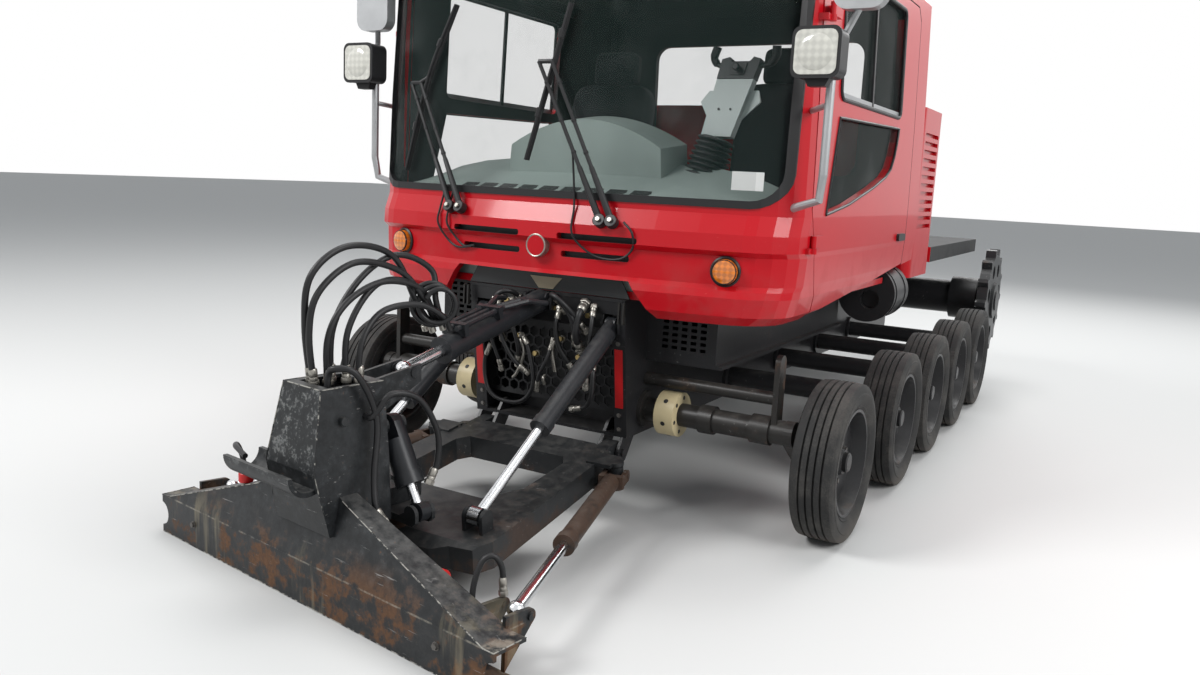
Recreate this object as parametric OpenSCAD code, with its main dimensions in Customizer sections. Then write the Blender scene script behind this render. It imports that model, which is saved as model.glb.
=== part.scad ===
// Tracked snow groomer, standing without tracks and blade on its road wheels.
// The front faces -Y, the driver's side is +X, and Z is up, in millimetres.
// Lengthwise places are counted from the first wheel's axle, positive to the rear.

/* [Wheels] */
// Outer diameter of a tyre
tyre_d = 634; // [600:2:680]
// Width of a tyre
tyre_w = 176; // [140:2:200]
// Diameter of the rim's flange, where the tyre seats
rim_d = 430; // [380:2:470]
// Distance from the machine's middle to a wheel's middle
track_half = 1153; // [1080:1:1220]
// Distance between the wheels behind the second one
wheel_pitch = 719; // [700:1:800]
// Distance from the first wheel to the second
first_gap = 907; // [760:1:1000]
// Wheels on one side
wheels = 5; // [4:1:5]
// Radius of a wheel's spindle
spindle_r = 32; // [24:1:40]

/* [Axles] */
// Radius of an axle tube
axle_r = 48; // [36:1:60]
// Height of the axle tubes
axle_z = 430; // [400:2:470]
// How far an axle tube lies ahead of its wheels
axle_lead = 155; // [120:5:200]
// Outer end of the axle tubes, from the middle
axle_end = 1000; // [960:2:1020]
// Radius of a guide roller on the front axle
roller_r = 92; // [70:1:110]
// Width of a guide roller
roller_w = 84; // [60:2:110]
// Place of a guide roller, from the middle
roller_x = 508; // [480:1:560]

/* [Hull] */
// Half the width of the hull
hull_half = 380; // [340:5:400]
// Height of the hull's belly
belly_z = 330; // [300:5:360]
// Height of the hull's top
hull_top = 905; // [880:5:930]
// Thickness of the hull's plates
plate = 12; // [8:1:16]
// Front of the hull at its foot
hull_front = -305; // [-330:5:-280]
// How far the hull's front leans forward at the top
hull_lean = 75; // [40:5:100]
// Rear end of the hull
hull_rear = 3960; // [3900:10:4100]
// Half the width over the side boxes below the cab
box_half = 690; // [640:5:740]
// Lower edge of the side boxes
box_z = 640; // [600:5:680]
// Across flats of a mesh cell in the front grille
cell = 40; // [30:1:50]
// Bar between two mesh cells
cell_bar = 8; // [5:1:12]

/* [Cab] */
// Front of the cab's nose
cab_front = -450; // [-480:5:-420]
// Rear of the cab
cab_rear = 1800; // [1700:10:1900]
// Half the width of the cab
cab_half = 1015; // [980:5:1050]
// Radius of the nose's wide front curve
nose_r = 4000; // [3000:50:6000]
// Radius of the cab's front corners
corner_r = 220; // [180:5:260]
// Radius of the cab's rear corners
rear_r = 90; // [70:5:120]
// Thickness of the cab's walls
cab_wall = 38; // [25:1:50]
// Thickness of the glass
glass_t = 6; // [4:0.5:8]
// Width of the windshield's rubber seal
seal_w = 30; // [20:1:40]
// Gap round a door
door_gap = 6; // [5:0.5:8]
// Radius of a door hinge's pin
hinge_r = 8; // [6:0.5:10]

/* [Push frame] */
// Half the distance between the lift cylinders
lift_half = 315; // [290:1:330]
// Height of the push frame's pivots
frame_z = 265; // [250:5:290]
// Length of the push frame, from its pivots to the ball's middle
frame_len = 927; // [900:5:960]
// Height of the ball's middle
ball_z = 150; // [140:2:170]
// Radius of the cradle that holds the ball
cradle_r = 104; // [95:1:115]
// Radius of the ball
ball_r = 78; // [70:1:84]
// Radius of the pins
pin_r = 18; // [14:1:24]
// Turn of the blade carrier as it was left, seen from above
swing_rest = 8.4; // [0:0.2:12]

/* [Blade carrier] */
// Half the length of the beam
beam_half = 860; // [800:5:900]
// Height of the beam's upright web
beam_h = 142; // [120:2:160]
// From the ball's middle to the beam's front
beam_reach = 410; // [390:5:440]
// Height of the tower's top
tower_top = 702; // [660:2:740]
// Half the width of the tower at its top
tower_half = 96; // [80:1:115]
// Depth of the tower
tower_deep = 250; // [220:5:290]
// Thickness of the carrier's sheets
sheet = 12; // [8:1:16]

/* [Cylinders] */
// Radius of the lift cylinders
lift_r = 36; // [30:1:42]
// Radius of the lift cylinders' rods
lift_rod_r = 18; // [15:1:22]
// Radius of the top link's cylinder
top_r = 46; // [38:1:52]
// Radius of the top link's rod
top_rod_r = 22; // [18:1:26]
// Radius of the swing cylinders
swing_r = 34; // [28:1:40]
// Radius of the swing cylinders' rods
swing_rod_r = 19; // [15:1:22]
// Radius of the tilt cylinder
tilt_r = 44; // [36:1:50]
// Radius of the tilt cylinder's rod
tilt_rod_r = 17; // [14:1:22]

/* [Rear] */
// Height of the load deck
deck_z = 1060; // [1020:5:1120]
// Half the width of the load deck
deck_half = 985; // [900:5:1050]
// Top of the house behind the cab
house_top = 1840; // [1700:10:1950]
// Depth of the house behind the cab
house_deep = 520; // [440:10:600]
// Radius of the drive sprockets to their tooth tips
sprocket_r = 372; // [340:2:400]
// Teeth on a drive sprocket
teeth = 14; // [10:1:20]
// Place of the drive sprockets
sprocket_y = 3720; // [3660:10:3760]
// Height of the drive sprockets
sprocket_z = 640; // [600:5:700]

/* [Hidden] */

// Sides of the machine along X, by its own left and right
left = 1;
right = -1;
// Height of a wheel's hub
hub_z = tyre_d / 2;
// Lengthwise places of the wheels
wheel_y = [for (i = [0:wheels - 1]) i == 0 ? 0 : first_gap + (i - 1) * wheel_pitch];
// Running clearance of a shaft in its bore
fit = 0.05;
// Outer end of an axle's arm, and of its spindle's shoulder
arm_t = 36;
arm_end = axle_end + arm_t;
shoulder = 14;
spindle_end = track_half + 30;
// Inner face of a rim's hub
hub_in = arm_end + shoulder;
// Play between a rim and its shoulder
hub_play = 1;

// The front linkage, in the machine's own upright plane
pivot_y = -303;
pivot = [pivot_y, frame_z];
frame_tilt = asin((frame_z - ball_z) / frame_len);
ball_y = pivot_y - frame_len * cos(frame_tilt);
frame_t = 94;
clevis_up = 95;
clevis_back = 27;
// Upper pins of the lift cylinders and of the top link
lift_head = [lift_half, -347, 795];
top_head = [0, -400, 868];
// Pins on the tower, from the ball's middle: along the beam, ahead of the ball, height
top_eye = [0, 0, 700];
tilt_head = [58, 100, 540];
tilt_eye = [208, 100, 278];
// Pins of the swing cylinders, on the frame and on the beam
swing_head = [448, -200, 0];
swing_eye = [740, 200, 152];
// Half the gap between two ears, and half an eye between them
ear_gap = 28;
eye_half = 22;
ear_t = 14;
// Rear lift
rear_pivot = [0, hull_rear + 62, 520];
rear_half = 330;
// From a rear arm's pivot to its hook's bore
rear_reach = 430;

// Front and rear ends of the whole machine
front_y = ball_y - beam_reach * cos(swing_rest) - (beam_half + 8) * sin(swing_rest);
rear_y = rear_pivot[1] + rear_reach + 50;

mid_y = (front_y + rear_y) / 2;

$fn = 48;

// Points of an arc about c with radius r from angle a to angle b
function arc(c, r, a, b, n) = [for (i = [0:n]) c + r * [cos(a + (b - a) * i / n),
    sin(a + (b - a) * i / n)]];
// A rectangle with rounded corners from p to q
function rounded(p, q, r) = concat(
    arc([q[0] - r, p[1] + r], r, -90, 0, 6), arc([q[0] - r, q[1] - r], r, 0, 90, 6),
    arc([p[0] + r, q[1] - r], r, 90, 180, 6), arc([p[0] + r, p[1] + r], r, 180, 270, 6));
// Place on the blade carrier to place on the machine
function on_carrier(p) = [p[0] * cos(swing_rest) - p[1] * sin(swing_rest),
                          ball_y - p[0] * sin(swing_rest) - p[1] * cos(swing_rest), p[2]];
// Place on the push frame (across, ahead, up) to place on the machine
function on_frame(p) = [p[0], pivot_y + p[1] * cos(frame_tilt) + p[2] * sin(frame_tilt) * -1,
                        frame_z + p[1] * sin(frame_tilt) + p[2] * cos(frame_tilt)];

lift_eye = on_frame([lift_half, -(frame_len - clevis_back), clevis_up]);

// The machine is moved so that its middle stands over the origin
module machine() { translate([0, -mid_y, 0]) children(); }
module both_sides() { children(); mirror([1, 0, 0]) children(); }
// Places things on Z from p towards q
module along(p, q) {
    v = q - p;
    translate(p) rotate([0, acos(v[2] / norm(v)), atan2(v[1], v[0])]) children();
}
module across(r, x0, x1) { translate([x0, 0, 0]) rotate([0, 90, 0]) cylinder(r = r, h = x1 - x0); }
module box(p, q) { translate(p) cube(q - p); }
function unit(v) = v / norm(v);
function ways(p) = let (n = len(p)) [for (i = [0:n - 1]) i == 0 ? unit(p[1] - p[0])
    : i == n - 1 ? unit(p[i] - p[i - 1])
    : unit(unit(p[i + 1] - p[i]) + unit(p[i] - p[i - 1]))];
// Carries a cross direction along the path without twist
function carried(t, i = 1, u = []) = let (w = len(u) > 0 ? u : [unit(cross(t[0], [0.31, 0.57, 0.76]))])
    i >= len(t) ? w : carried(t, i + 1, concat(w, [unit(w[i - 1] - (w[i - 1] * t[i]) * t[i])]));
// A round tube along a path
module pipe(points, r, sides = 12) {
    t = ways(points);
    u = carried(t);
    m = len(points);
    polyhedron([for (i = [0:m - 1], k = [0:sides - 1]) let (a = 360 * k / sides)
            points[i] + r * (cos(a) * u[i] + sin(a) * cross(t[i], u[i]))],
        concat([[for (k = [0:sides - 1]) k]],
            [for (i = [0:m - 2], k = [0:sides - 1]) let (j = (k + 1) % sides)
                [i * sides + k, (i + 1) * sides + k, (i + 1) * sides + j, i * sides + j]],
            [[for (k = [sides - 1:-1:0]) (m - 1) * sides + k]]));
}
// An outline seen from the front (X, Z), as deep as y0 to y1
module from_front(y0, y1) { translate([0, y1, 0]) rotate([90, 0, 0]) linear_extrude(y1 - y0) children(); }
// An outline seen from the side (Y, Z), from x0 to x1
module from_side(x0, x1) {
    translate([x0, 0, 0]) rotate([90, 0, 90]) linear_extrude(x1 - x0) children();
}
// A flat arm with round ends between two places of the Y-Z plane
module arm(p, q, r, x0, x1) {
    v = q - p;
    a = atan2(v[1], v[0]);
    from_side(x0, x1) polygon(concat(arc(p, r, a + 90, a + 270, 12), arc(q, r, a - 90, a + 90, 12)));
}

// Wheels
module tyre(side, i) {
    color("#2b2b2b") machine() translate([side * track_half, wheel_y[i], hub_z]) rotate([0, 90, 0])
        rotate_extrude($fn = 36) polygon([
            [rim_d / 2, -tyre_w * 0.40], [tyre_d * 0.44, -tyre_w / 2], [tyre_d / 2 - 14, -tyre_w * 0.46],
            [tyre_d / 2, -tyre_w * 0.36], [tyre_d / 2, tyre_w * 0.36], [tyre_d / 2 - 14, tyre_w * 0.46],
            [tyre_d * 0.44, tyre_w / 2], [rim_d / 2, tyre_w * 0.40]]);
}
module rim(side, i) {
    lip = tyre_w * 0.40;
    dish = spindle_end + 10 - track_half;
    color("#141414") machine() translate([side * track_half, wheel_y[i],
        hub_z]) mirror([side < 0 ? 1 : 0, 0, 0])
        rotate([0, 90, 0]) rotate_extrude() polygon([
            [spindle_r + fit, hub_in + hub_play - track_half], [70, hub_in + hub_play - track_half],
                [70, 0],
            [rim_d / 2 - 26, -6], [rim_d / 2 - 12, -lip], [rim_d / 2, -lip],
            [rim_d / 2, lip], [rim_d / 2 - 12, lip], [rim_d / 2 - 30, 12],
            [60, 14], [48, dish], [spindle_r + fit, dish]]);
}
// A spindle with its shoulder, carried by an arm from the axle tube
module wheel_arm(y) {
    arm([y - axle_lead, axle_z], [y, hub_z], 52, axle_end, arm_end);
    translate([0, y, hub_z]) {
        across(spindle_r + 18, arm_end, hub_in);
        across(spindle_r, hub_in, spindle_end);
    }
}

// Hull
module chassis() {
    bulkhead = -150;
    air_filter();
    color("#1d1d1f") machine() {
        difference() {
            box([-hull_half, bulkhead, belly_z], [hull_half, hull_rear, hull_top]);
            box([-hull_half + plate, bulkhead + plate, belly_z + plate], [hull_half - plate,
                hull_rear - plate, hull_top - plate]);
            box([-bay_half, bay_front, hull_top - 2 * plate], [bay_half, bay_rear, hull_top + 1]);
        }
        both_sides() {
            for (i = [1:wheels - 1]) {
                translate([0, wheel_y[i] - axle_lead, axle_z]) {
                    across(axle_r, hull_half - plate, axle_end);
                    across(axle_r + 30, hull_half - plate, hull_half + 16);
                }
                wheel_arm(wheel_y[i]);
            }
            side_box();
            final_drive();
            rear_ears();
        }
    }
}
module side_box() {
    box_front = -170;
    box_rear = 1500;
    slot = [26, 14];
    difference() {
        box([hull_half, box_front, box_z], [box_half, box_rear, hull_top]);
        box([hull_half + plate, box_front + plate, box_z + plate], [box_half - plate, box_rear - plate,
            hull_top - plate]);
        for (c = [0:4], r = [0:6])
            translate([hull_half + 70 + c * (slot[0] + 16), box_front - 1, box_z + 60 + r * (slot[1] + 12)])
                cube([slot[0], plate + 2, slot[1]]);
    }
    box([box_half, box_front, box_z], [box_half + 28, box_rear, box_z + 14]);
}
module final_drive() {
    translate([0, sprocket_y, sprocket_z]) {
        across(170, hull_half - plate, hull_half + 24);
        across(118, hull_half, 900);
        across(150, 900, sprocket_x - 70);
        across(70, sprocket_x - 70, sprocket_x + 60);
    }
}
sprocket_x = track_half;
bay_half = 300;
bay_front = 2480;
bay_rear = 3420;
module rear_ears() {
    for (x = [rear_half, rear_x], low = [x == rear_half])
        let (p = low ? rear_pivot : rear_head, h = low ? 60 : 40)
            for (e = [x - ear_gap - ear_t, x + ear_gap]) {
                box([e, hull_rear - plate, p[2] - h], [e + ear_t, p[1], p[2] + h]);
                translate([0, p[1], p[2]]) across(h, e, e + ear_t);
            }
    translate([0, rear_pivot[1], rear_pivot[2]]) across(pin_r, rear_half - ear_gap - ear_t,
        rear_half + ear_gap + ear_t);
    translate([0, rear_head[1], rear_head[2]]) across(pin_r, rear_x - ear_gap - ear_t,
        rear_x + ear_gap + ear_t);
}
rear_x = 200;
rear_head = [rear_x, hull_rear + 50, 856];
rear_eye = [rear_x, hull_rear + 330, 540];

// The hull's front, with the mesh grille, the upper clevises and the lower ears
module front_hull() {
    back = -150;
    top_y = hull_front - hull_lean;
    lean = [[hull_front, belly_z], [back, belly_z], [back, hull_top], [top_y, hull_top]];
    color("#1d1d1f") machine() {
        both_sides() {
            from_side(hull_half - plate, hull_half) polygon(lean);
            // broad front edge of the cheek, cut out round the lift cylinder's head
            difference() {
                from_side(hull_half - 56, hull_half - plate)
                    polygon([[hull_front, belly_z], [hull_front + plate, belly_z], [top_y + plate,
                        hull_top], [top_y, hull_top]]);
                box([hull_half - 60, -460, lift_head[2] - 52], [lift_half + eye_half + 8, -200,
                    lift_head[2] + 52]);
            }
            lower_ears();
            clevis(lift_head, 32, 10);
        }
        clevis(top_head, 58, 10);
        box([-hull_half + plate, hull_front, belly_z], [hull_half - plate, back, belly_z + plate]);
        difference() {
            union() {
                box([-hull_half + plate, top_y, hull_top - plate], [hull_half - plate, back, hull_top]);
                from_side(-hull_half + plate, hull_half - plate)
                    polygon([[top_y + 8, hull_top - 64], [top_y + 20, hull_top - 64], [top_y + 12,
                        hull_top], [top_y, hull_top]]);
            }
            // room for the top link's head
            box([-50, top_y - 10, hull_top - 74], [50, top_y + 34, hull_top + 10]);
        }
        mesh_panel();
    }
}
module mesh_panel() {
    w = hull_half - plate;
    z0 = 420;
    z1 = 760;
    y = -262;
    step = cell + cell_bar;
    rise = step * sin(60);
    cols = floor((2 * w - 40) / step);
    rows = floor((z1 - z0 - 30) / rise);
    from_front(y, y + 8) difference() {
        translate([-w, z0]) square([2 * w, z1 - z0]);
        for (r = [0:rows - 1], c = [0:cols - 1 - r % 2])
            translate([(c - (cols - 1) / 2 + (r % 2) / 2) * step, z0 + 20 + cell / 2 + r * rise])
                rotate(30) circle(d = cell / cos(30), $fn = 6);
    }
}
// Two ears at a pin, with the pin through them
module clevis(p, half, t) {
    for (x = [-half - t, half])
        from_side(p[0] + x, p[0] + x + t)
            polygon([[p[1] - 26, p[2] - 30], [p[1] + 30, p[2] - 36], [-300, p[2] - 20], [-300,
                hull_top - 4],
                     [p[1] + 10, hull_top - 4], [p[1] - 26, p[2] + 26]]);
    translate([0, p[1], p[2]]) across(pin_r, p[0] - half - t - 8, p[0] + half + t + 8);
}
module lower_ears() {
    for (x = [lift_half - 52, lift_half + 36])
        difference() {
            union() {
                arm([pivot[0], pivot[1]], [pivot[0] + 60, belly_z + 20], 40, x, x + 14);
            }
            box([x - 1, hull_front + 90, belly_z + plate - 1], [x + 15, 0, belly_z + 200]);
        }
    translate([0, pivot[0], pivot[1]]) across(pin_r, lift_half - 60, lift_half + 58);
}

// Cab: one row per height, with how far the front is set back, the sides are set in, and the corner's
// radius
cab_rows = [[848, 52, 80, 0], [884, 14, 34, 0], [955, 0, 12, 0], [982, 8, 10, 0], [1000, 24, 8, 0],
            [1108, 26, 2, 0], [1128, 0, 0, 0], [1190, 4, 0, 0], [1262, 34, 0, 0], [1700, 44, 8, 0],
            [2340, 72, 30, 0], [2440, 104, 62, 0], [2510, 190, 140, 0], [2545, 340, 290, 0], [2560, 560,
                520, 0]];
roof_from = 2340;
function cab_ring(row, in, drop = 0) =
    let (w = cab_half - row[2] - in, yf = cab_front + row[1] + in, yr = cab_rear - row[2] * 0.5 - in,
         R = nose_r - in, rc = corner_r - in, rr = rear_r - in / 2, xc = w - rc,
         yc = yf + R - sqrt(pow(R - rc, 2) - xc * xc), a = asin(xc / (R - rc)),
         z = row[0] - (row[0] > roof_from ? in : 0) - drop,
         plan = concat(arc([0, yf + R], R, -90 - a, -90 + a, 10), arc([xc, yc], rc, -90 + a + 12, 0, 4),
                       arc([w - rr, yr - rr], rr, 0, 90, 3), arc([-w + rr, yr - rr], rr, 90, 180, 3),
                       arc([-xc, yc], rc, 180, 270 - a - 12, 4)))
    [for (p = plan) [p[0], p[1], z]];
module loft(rings) {
    n = len(rings[0]);
    m = len(rings);
    polyhedron([for (r = rings) for (p = r) p],
        concat([[for (i = [0:n - 1]) i]],
            [for (k = [0:m - 2], i = [0:n - 1]) let (j = (i + 1) % n) [k * n + i, (k + 1) * n + i,
                (k + 1) * n + j, k * n + j]],
            [[for (i = [n - 1:-1:0]) (m - 1) * n + i]]));
}
module cab_form(in, drop = 0) { loft([for (k = [0:len(cab_rows) - 1]) cab_ring(cab_rows[k], in,
    k == 0 ? drop : 0)]); }
// The layer of the cab between two depths below its surface
module cab_skin(a, b) { difference() { cab_form(a); cab_form(b, 30); } }

function door_line(g) = [[72 + g, 866 + g], [2 + g, 1000], [-118 + g, 1290], [-118 + g, 2230 - g],
                         [-60 + g, 2290 - g], [1420 - g, 2290 - g], [1480 - g, 2230 - g], [1480 - g,
                             1003 + g]];
door_pane = [[150, 1725], [1150, 2225]];
function low_pane(g) = [[56 + g, 1272 + g], [361, 1312 + g], [742 - g, 1388 + g], [950 - g, 1440 + g],
    [1040 - g, 1482 + g],
    [1092 - g, 1542 + g], [1126 - g, 1610 + g], [1144 - g, 1676 - g], [158 + g, 1652 - g]];
screen = [[-968, 1296], [968, 2300]];
// The windshield's cuts reach this far back
screen_end = -142;
back_pane = [[-640, 1450], [640, 2180]];

module cab_shell() {
    color("#c8102a") machine() {
        difference() {
            cab_skin(0, cab_wall);
            from_front(cab_front - 60, screen_end) polygon(rounded(screen[0] - [seal_w, seal_w] * 0.35,
                screen[1] + [seal_w, seal_w] * 0.35, 130));
            from_front(cab_rear - 200, cab_rear + 60) polygon(rounded(back_pane[0], back_pane[1], 80));
            from_side(-cab_half - 60, cab_half + 60) polygon(door_line(0));
            // the side's lower edge rises to the rear
            from_side(-cab_half - 60, cab_half + 60)
                polygon([[72, 800], [cab_rear + 60, 800], [cab_rear + 60, 1030], [1480, 1003], [72, 866]]);
            // opening of the front panel over the hull
            from_front(cab_front - 60, -200) polygon([[-520, 840], [520, 840], [410, 985], [-410, 985]]);
            grille_slots();
        }
        cab_floor();
        both_sides() hinge_pins();
    }
}
module grille_slots() {
    for (s = [left, right], row = [[1140, 92, 440], [1068, 100, 400]])
        for (k = [0:1])
            from_front(cab_front - 60, -300)
                polygon([for (p = rounded([row[1], row[0] - 12 - k * 0], [row[2], row[0] + 12],
                    10)) [s * p[0], p[1]]]);
}
module cab_floor() {
    // the floor keeps clear of the doors
    side = cab_half - cab_wall - 34;
    translate([0, 0, hull_top]) linear_extrude(30)
        difference() {
            polygon([for (p = cab_ring([955, 60, 20, 0], cab_wall - 8)) [p[0], p[1]]]);
            translate([drum[0] - drum_r - 20, 1380]) square([400, 500]);
            for (s = [left, right]) translate([s > 0 ? side : -side - 200, 0]) square([200, cab_rear]);
        }
}
hinge_x = cab_half + 12;
hinge_y = -104;
hinge_zs = [1160, 2010];
module hinge_pins() {
    for (z = hinge_zs) {
        translate([hinge_x, hinge_y, z - 34]) cylinder(r = hinge_r, h = 68);
        translate([hinge_x, hinge_y, z - 34]) cylinder(r = 15, h = 22);
        box([cab_half - 35, hinge_y - 50, z - 34], [hinge_x, hinge_y - 10, z - 12]);
    }
}
// The flat side of the cab between two depths, as deep as a door is wide
module door_skin(a, b) {
    rows = [for (r = cab_rows) if (r[0] <= roof_from) r];
    n = len(rows);
    from_front(-190, 1560) polygon(concat([for (r = rows) [cab_half - r[2] - a, r[0]]],
        [for (k = [n - 1:-1:0]) [cab_half - rows[k][2] - b, rows[k][0]]]));
}
module door(side) {
    color("#c8102a") machine() mirror([side < 0 ? 1 : 0, 0, 0]) {
        difference() {
            intersection() {
                door_skin(0, cab_wall);
                from_side(cab_half - 200, cab_half + 60) polygon(door_line(door_gap));
            }
            from_side(cab_half - 220, cab_half + 60) polygon(rounded(door_pane[0], door_pane[1], 40));
            from_side(cab_half - 220, cab_half + 60) polygon(low_pane(0));
        }
        for (z = hinge_zs)
            difference() {
                union() {
                    translate([hinge_x, hinge_y, z - 11.5]) cylinder(r = 11, h = 45.5);
                    // a strap outside the shell, and its root in the door
                    box([cab_half + 2, hinge_y + 4, z - 11.5], [hinge_x + 4, hinge_y + 110, z + 34]);
                    box([cab_half - 24, hinge_y + 68, z - 11.5], [hinge_x + 4, hinge_y + 110, z + 34]);
                }
                translate([hinge_x, hinge_y, z - 40]) cylinder(r = hinge_r + fit, h = 90);
            }
    }
}
module door_glass(side) {
    color("#8fa5a5") machine() mirror([side < 0 ? 1 : 0, 0, 0]) intersection() {
        door_skin(14, 14 + glass_t);
        union() {
            from_side(cab_half - 200, cab_half + 60) polygon(rounded(door_pane[0], door_pane[1], 40));
            from_side(cab_half - 200, cab_half + 60) polygon(low_pane(0));
        }
    }
}
module cab_glass() {
    color("#8fa5a5") machine() {
        intersection() {
            cab_skin(14, 14 + glass_t);
            from_front(cab_front - 60, screen_end) polygon(rounded(screen[0], screen[1], 120));
        }
        intersection() {
            cab_skin(14, 14 + glass_t);
            from_front(cab_rear - 150, cab_rear + 60) polygon(rounded(back_pane[0], back_pane[1], 80));
        }
    }
}
module window_seals() {
    color("#111111") machine() intersection() {
        cab_skin(-6, 14);
        from_front(cab_front - 60, screen_end) difference() {
            polygon(rounded(screen[0] - [seal_w, seal_w] * 0.35, screen[1] + [seal_w, seal_w] * 0.35, 130));
            polygon(rounded(screen[0] + [seal_w, seal_w] * 0.6, screen[1] - [seal_w, seal_w] * 0.6, 105));
        }
    }
}

// Inside the cab
module cab_interior() {
    seats();
    dashboard();
}
floor_z = hull_top + 30;
module seats() {
    color("#222222") machine() for (x = [440, -560]) translate([x, 560, floor_z]) {
        box([-150, 60, 0], [150, 380, 240]);
        box([-260, 0, 240], [260, 500, 400]);
        translate([0, 430, 330]) rotate([-8, 0, 0]) from_front(0, 120) polygon(rounded([-250, 40], [250,
            620], 90));
        translate([0, 520, 930]) from_front(0, 90) polygon(rounded([-130, 0], [130, 190], 60));
        box([-40, 540, 880], [40, 590, 960]);
    }
}
module dashboard() {
    control_column();
    color("#3c4442") machine() {
        difference() {
            translate([0, 0, floor_z]) linear_extrude(1300 - floor_z)
                polygon([for (p = cab_ring([1262, 44, 0, 0], cab_wall + 24)) [p[0], p[1]]]);
            box([-1100, 40, floor_z - 1], [1100, 2000, 1400]);
            box([-700, -140, floor_z - 1], [800, 60, 1240]);
        }
        translate([0, 40, 1300]) rotate([90, 0, 0]) linear_extrude(260)
            polygon(concat([[-390, 0]], arc([0, -250], 520, 139, 41, 12), [[390, 0]]));
    }
}
module control_column() {
    color("#8a9290") machine() translate([540, 110, floor_z]) {
        box([-70, -40, 0], [70, 60, 420]);
        translate([0, 0, 400]) rotate([-14, 0, 0]) {
            from_front(-14, 14) polygon([[-64, 0], [64, 0], [112, 480], [-112, 480]]);
            for (s = [left, right])
                pipe([[s * 60, 0, 440], [s * 130, 2, 500], [s * 150, -60, 540]], 11);
        }
    }
}

// Outside the cab
// Back of a headlamp, where the rail's plate holds it
lamp_back = -312;
// Places of a rail across, for either side of the machine: foot, bend, top, mirror's stalk, mirror
function rail_x(side) = side > 0 ? [975, 1082, 1092, 1150, 1190] : [940, 1026, 1040, 1010, 985];
module rails() {
    mirrors();
    color("#a3a6a6") machine() difference() {
        for (s = [left, right]) let (x = rail_x(s)) {
            pipe([[s * x[0], -225, 1296], [s * x[1], -262, 1330], [s * x[2], -270, 1420], [s * x[2],
                -270, 1780]], 16);
            pipe([[s * x[2], -270, 1664], [s * 990, -160, 1650]], 11);
            translate([s * (x[2] - 20), 0, 0]) box([-18, lamp_back + 0.4, 1796], [18, -272, 1856]);
            pipe([[s * x[2], -270, 1780], [s * x[2], -270, 1830], [s * x[3], -290, 1930], [s * x[4],
                -318, 1990]], 12);
        }
        cab_form(-0.4);
    }
}
module mirrors() {
    color("#151515") machine() for (s = [left, right]) let (x = s * rail_x(s)[4])
        translate([x, -330, 1990]) from_front(-26, 26) polygon(rounded([-90, -20], [90, 270], 50));
}
// Depth of the nose's surface at a place seen from the front
function nose_y(x, z) = cab_front + lookup(z, [for (r = cab_rows) [r[0],
    r[1]]]) + nose_r - sqrt(nose_r * nose_r - x * x);
module lamps() {
    seat = 0.5;
    roof = cab_rows[len(cab_rows) - 1][0];
    machine() {
        for (s = [left, right])
            color("#202020") translate([s * (rail_x(s)[2] - 20), lamp_back, 1826])
                from_front(-84, 0) polygon(rounded([-84, -84], [84, 84], 30));
        both_sides() {
            color("#e08a1e") translate([779, nose_y(779, 1052), 1052]) rotate([0, 0,
                asin(779 / nose_r)]) rotate([90, 0, 0])
                translate([0, 0, seat]) cylinder(r = 46, h = 30);
            color("#202020") translate([430, 180, roof + 0.3]) {
                cylinder(r = 22, h = 30);
                translate([0, 0, 20]) from_front(-50, 40) polygon(rounded([-90, 0], [90, 96], 24));
            }
        }
        color("#e08a1e") translate([0, 900, roof + 0.3]) {
            cylinder(r = 84, h = 30);
            cylinder(r = 70, h = 170);
        }
    }
}
// Twin arms from pivots below the windshield up to the middle of each blade
module wipers() {
    r = 8;
    // Lean of the nose below the windshield
    nose_lean = atan(30 / 72);
    // pivots, their height, arm ends, their height, blade from top to foot
    for (w = [[[-460, -400], 1214, [-750, -690], 1742, [[-500, 2056], [-648, 1770], [-780, 1367]]],
              [[290, 340], 1200, [-40, 20], 1812, [[85, 2030], [26, 1816], [-85, 1430]]]])
        color("#161616") machine() {
            lift = 18;
            m = w[4][1];
            for (j = [0, 1]) {
                x = w[0][j];
                y = nose_y(x, w[1]);
                translate([x, y, w[1]]) rotate([0, 0, asin(x / nose_r)]) rotate([90 - nose_lean, 0, 0])
                    translate([0, 0, 0.4]) cylinder(r = 17, h = 30);
                pipe([[x, y - 18.5, w[1] + 7.7], [w[2][j], nose_y(w[2][j], w[3]) - lift, w[3]]], r);
            }
            pipe([[w[2][0], nose_y(w[2][0], w[3]) - lift, w[3]], [w[2][1], nose_y(w[2][1], w[3]) - lift,
                w[3]],
                  [m[0], nose_y(m[0], m[1]), m[1]]], r + 1);
            pipe([for (p = w[4]) [p[0], nose_y(p[0], p[1]) - 1, p[1]]], r + 2);
        }
}

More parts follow.
